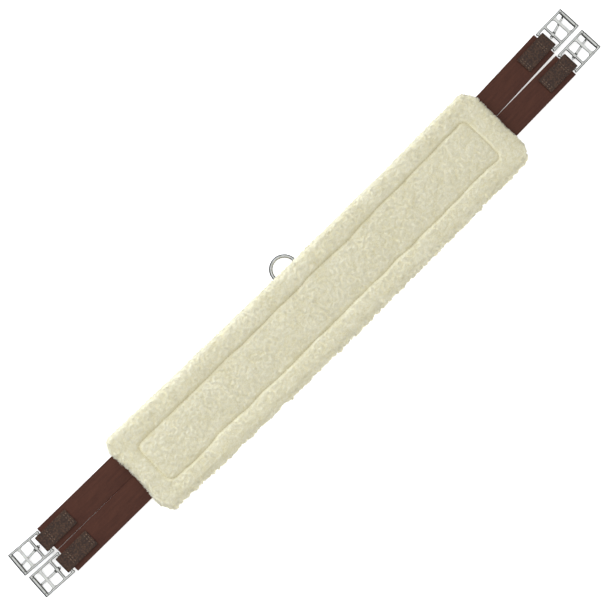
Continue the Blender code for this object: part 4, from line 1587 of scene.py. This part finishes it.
    def strip(
        self, start: float, stop: float, half: float, thick: float, step: float
    ) -> Form:
        """Makes a flat strip with rounded edges, cut across often enough to bend.

        Args:
            start: X at its first end.
            stop: X at its other end.
            half: half its width.
            thick: half its thickness.
            step: about how far its cuts are apart.

        Returns:
            The closed strip.
        """
        bm = bmesh.new()
        bmesh.ops.create_cube(bm, size=1.0)
        bmesh.ops.scale(bm, verts=bm.verts, vec=(stop - start, 2 * half, 2 * thick))
        bmesh.ops.translate(bm, verts=bm.verts, vec=((start + stop) / 2, 0, 0))
        long_edges = [e for e in bm.edges if abs(e.verts[0].co.x - e.verts[1].co.x) > (stop - start) / 2]
        rounded(bm, long_edges, self.edge, 3)
        count = max(1, round((stop - start) / step))
        for k in range(1, count):
            bmesh.ops.bisect_plane(
                bm,
                geom=bm.verts[:] + bm.edges[:] + bm.faces[:],
                plane_co=(start + (stop - start) * k / count, 0, 0),
                plane_no=(1, 0, 0),
                dist=1e-7,
            )
        bmesh.ops.recalc_face_normals(bm, faces=bm.faces)
        return bm

    def chape(self) -> list[Piece]:
        """Folds the chape round the buckle's bar and sews it to the elastic."""
        low, high = local_box(self.frame["nodes"][f"{self.name}_chape"], self.chape_axes.inverted())
        half = self.chape_thick / 2
        flat = self.elastic_half + self.chape_gap + half
        fold = Fold(low.x, flat, self.chape_ramp, self.chape_slack, high.z - half, 16, 120)
        mesh = fold.strip(f"{self.name}_chape_folded", high.y - low.y, self.chape_thick)
        mesh.transform(self.chape_axes)
        stands = [f"{self.name}_chape"]
        folded = piece(f"{self.name}_chape_folded", mesh, CHAPE_LEATHER, stands, 50)
        top = flat + half
        places = [place for z in (top, -top) for place in self.rows(low.x, high.y - low.y, z)]
        shape = stitch_shape(self.stitch, self.thread)
        name = f"{self.name}_chape_stitches"
        sewn = repeated(name, shape, stacked(self.chape_axes @ m for m in places))
        stitches = piece(name, sewn, LEATHER_THREAD)
        return [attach(obj, f"{self.name}_strap_end") for obj in (folded, stitches)]

    def rows(self, low: float, width: float, z: float) -> list[Matrix]:
        """Lays out the chape's stitches: two rows across its end and two across it by the buckle."""
        side = width / 2 - self.rows_inset
        places = []
        for x in (*(low + row for row in self.rows_at_end), *self.rows_at_bar):
            places += stitch_places([Vector((x, -side, z)), Vector((x, side, z))], self.stitch_pitch, UP)
        return places

    def cast(self, node: str, axes: Matrix, voxel: float, faces: int) -> Mesh:
        """Turns a CAD metal piece into a smooth casting with soft inner corners.

        Args:
            node: the CAD node.
            axes: the piece's own axes.
            voxel: how fine its surface is rebuilt.
            faces: about how many triangles are kept.

        Returns:
            The mesh in the piece's own axes.
        """
        bm = merged_copy(self.frame["nodes"][node], axes.inverted())
        obj = placed(f"{node}_blank", mesh_from(bm, f"{node}_blank"))
        remesh = obj.modifiers.new("cast", "REMESH")
        remesh.mode = "VOXEL"
        remesh.voxel_size = voxel
        smooth = obj.modifiers.new("polish", "SMOOTH")
        smooth.factor, smooth.iterations = 0.5, 7
        mesh = evaluated(obj)
        ratio = min(1.0, faces / (2 * len(mesh.polygons)))
        obj = placed(f"{node}_polished", mesh)
        thin = obj.modifiers.new("thin", "DECIMATE")
        thin.ratio = ratio
        mesh = evaluated(obj)
        bm = bmesh.new()
        bm.from_mesh(mesh)
        closed(bm)
        return laid(bm, f"{node}_cast")

    def buckle(self) -> list[Piece]:
        """Builds the frame, roller and tongue, which share their shapes with the other buckles."""
        if not self.shared:
            name = f"{self.name}_buckle_frame"
            self.shared["frame"] = self.cast(name, self.buckle_axes, self.cast_voxel, 30_000)
            name = f"{self.name}_tongue"
            self.shared["tongue"] = self.cast(name, self.tongue_axes, self.tongue_voxel, 9_000)
            self.shared["roller"] = self.roller_shape()
        made = []
        for part, axes, node, body in (
            ("frame", self.buckle_axes, "buckle_frame", "buckle"),
            ("roller", self.roller_axes, "roller", "roller"),
            ("tongue", self.tongue_axes, "tongue", "tongue"),
        ):
            mesh = self.shared[part].copy()
            mesh.transform(axes)
            stands = [f"{self.name}_{node}"]
            obj = piece(f"{self.name}_{node}_plated", mesh, NICKEL, stands, 60)
            made.append(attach(obj, f"{self.name}_{body}"))
        return made

    def roller_shape(self) -> Mesh:
        """Spins the roller's wall once round, with rolled-over ends."""
        low, high = local_box(self.frame["nodes"][f"{self.name}_roller"], self.roller_axes.inverted())
        radius, half, wall = high.z, (high.y - low.y) / 2, self.roller_wall
        bm = bmesh.new()
        bmesh.ops.create_grid(bm, x_segments=1, y_segments=1, size=0.5)
        bmesh.ops.scale(bm, verts=bm.verts, vec=(wall, 2 * half, 1))
        bmesh.ops.translate(bm, verts=bm.verts, vec=(radius - wall / 2, 0, 0))
        rounded(bm, bm.verts[:], self.roller_lip, 4, "VERTICES")
        bmesh.ops.delete(bm, geom=bm.faces[:], context="FACES_ONLY")
        spun(bm, Vector((0, 1, 0)), 48)
        return laid(bm, "roller_tube")

    def build(self) -> list[Piece]:
        """Builds and dresses the strap, and returns its pieces."""
        return [*self.elastic(), *self.chape(), *self.buckle()]


# ---------------------------------------------------------------------------------------------- the studio


@dataclass
class Studio:
    """A white light table, soft lamps and the camera."""

    floor_size: float = 14.0
    floor_below: float = 1.5 * MM
    camera_distance: float = 2.6
    sensor: float = 36.0
    lens: float = 107.9
    turn: float = math.radians(44.8)  # the girth's angle across the picture
    lean_left: float = math.radians(6.8)  # the camera leans to the left end, and a little to the rear
    lean_rear: float = math.radians(4.0)
    aim: tuple[float, float] = (-12.8 * MM, -8.3 * MM)  # of the picture's middle, right and up
    lamp_colour: str = "#E6EEFF"
    walls: tuple[str, str] = ("#3C3D3C", "#FFFFFF")  # low and high, as polished metal mirrors them
    wall_heights: tuple[float, float] = (0.5, 0.8)
    wall_light: float = 1.12
    room_light: float = 0.68

    def build(self) -> None:
        """Builds the floor, the lamps, the world and the camera."""
        self.floor()
        self.lamps()
        self.world()
        self.camera()
        bpy.context.scene.view_settings.view_transform = "Standard"

    def floor(self) -> None:
        """Lays the light table just under the girth."""
        bm = bmesh.new()
        bmesh.ops.create_grid(bm, x_segments=2, y_segments=2, size=self.floor_size / 2)
        bmesh.ops.translate(bm, verts=bm.verts, vec=(0, 0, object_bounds()[0].z - self.floor_below))
        table = placed("light_table", mesh_from(bm, "light_table"))
        table.data.materials.append(StudioSweep().material())
        table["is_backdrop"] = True

    def lamps(self) -> None:
        """Hangs the soft lamps: one overhead, one low from the front edge, one to fill from the rear."""
        for name, place, size, power in (
            ("overhead_lamp", (-0.7, 1.2, 2.4), 1.2, 16.0),
            ("front_edge_lamp", (-0.7, 2.2, 0.9), 1.2, 48.0),
            ("rear_fill_lamp", (0.4, -2.4, 0.7), 1.6, 20.0),
        ):
            lamp = bpy.data.lights.new(name, "AREA")
            lamp.size, lamp.energy, lamp.color = size, power, linear(self.lamp_colour)[:3]
            obj = placed(name, lamp)
            obj.visible_glossy = False  # polished metal mirrors the room alone
            obj.location = place
            obj.rotation_euler = (-Vector(place)).to_track_quat("-Z", "Y").to_euler()

    def world(self) -> None:
        """Makes a white room whose walls are darker low down, which polished metal mirrors."""
        world = bpy.data.worlds.new("white_room")
        bpy.context.scene.world = world
        world.use_nodes = True
        tree = world.node_tree
        tree.nodes.clear()
        direction = add(tree, "TexCoord").outputs["Generated"]
        height = add(tree, "SeparateXYZ", None, {0: direction}).outputs["Z"]
        ramp = add(tree, "ValToRGB", None, {0: height})
        for stop, position, colour in zip(ramp.color_ramp.elements, self.wall_heights, self.walls):
            stop.position, stop.color = position, linear(colour)
        white = linear("#FFFFFF")
        mirrored = add(tree, "Background", {"Strength": self.wall_light}, {"Color": ramp.outputs[0]})
        soft = add(tree, "Background", {"Color": white, "Strength": self.room_light})
        plain = add(tree, "Background", {"Color": white, "Strength": 1.0})
        path = add(tree, "LightPath").outputs
        shown = soft
        for ray, light in (("Is Glossy Ray", mirrored), ("Is Camera Ray", plain)):
            shown = add(tree, "MixShader", None, {0: path[ray], 1: shown.outputs[0], 2: light.outputs[0]})
        add(tree, "OutputWorld", None, {0: shown.outputs[0]})

    def camera(self) -> None:
        """Looks straight down on the girth, turned so that it crosses the picture from corner to corner."""
        back = Vector((-math.sin(self.lean_left), -math.sin(self.lean_rear), 0.0))
        back.z = math.sqrt(1 - back.x**2 - back.y**2)
        level_right = Vector((math.cos(self.turn), -math.sin(self.turn), 0.0))
        up = back.cross(level_right).normalized()
        right = up.cross(back).normalized()
        lens = bpy.data.cameras.new("camera")
        lens.sensor_width, lens.lens = self.sensor, self.lens
        lens.clip_start, lens.clip_end = 0.01, 50.0
        obj = placed("camera", lens)
        target = right * self.aim[0] + up * self.aim[1]
        turn = Matrix((right, up, back)).transposed().to_4x4()
        obj.matrix_world = Matrix.Translation(target + back * self.camera_distance) @ turn
        bpy.context.scene.camera = obj


def main() -> None:
    """Builds the girth's looks round the frame and reports each piece."""
    logging.basicConfig(level=logging.INFO, format="%(name)s: %(message)s", stream=sys.stdout)
    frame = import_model()
    Studio().build()
    shared: dict[str, Mesh] = {}
    names = [body.removesuffix("_strap") for body in frame["bodies"] if body.endswith("_strap")]
    straps = [Strap(frame, name, shared) for name in names]
    for assembly in (GirthBody(frame), RingSet(frame), *straps, Liner(frame)):
        for obj in assembly.build():
            LOG.info("%s: %d faces", obj.name, len(obj.data.polygons))


if __name__ == "__main__":
    main()
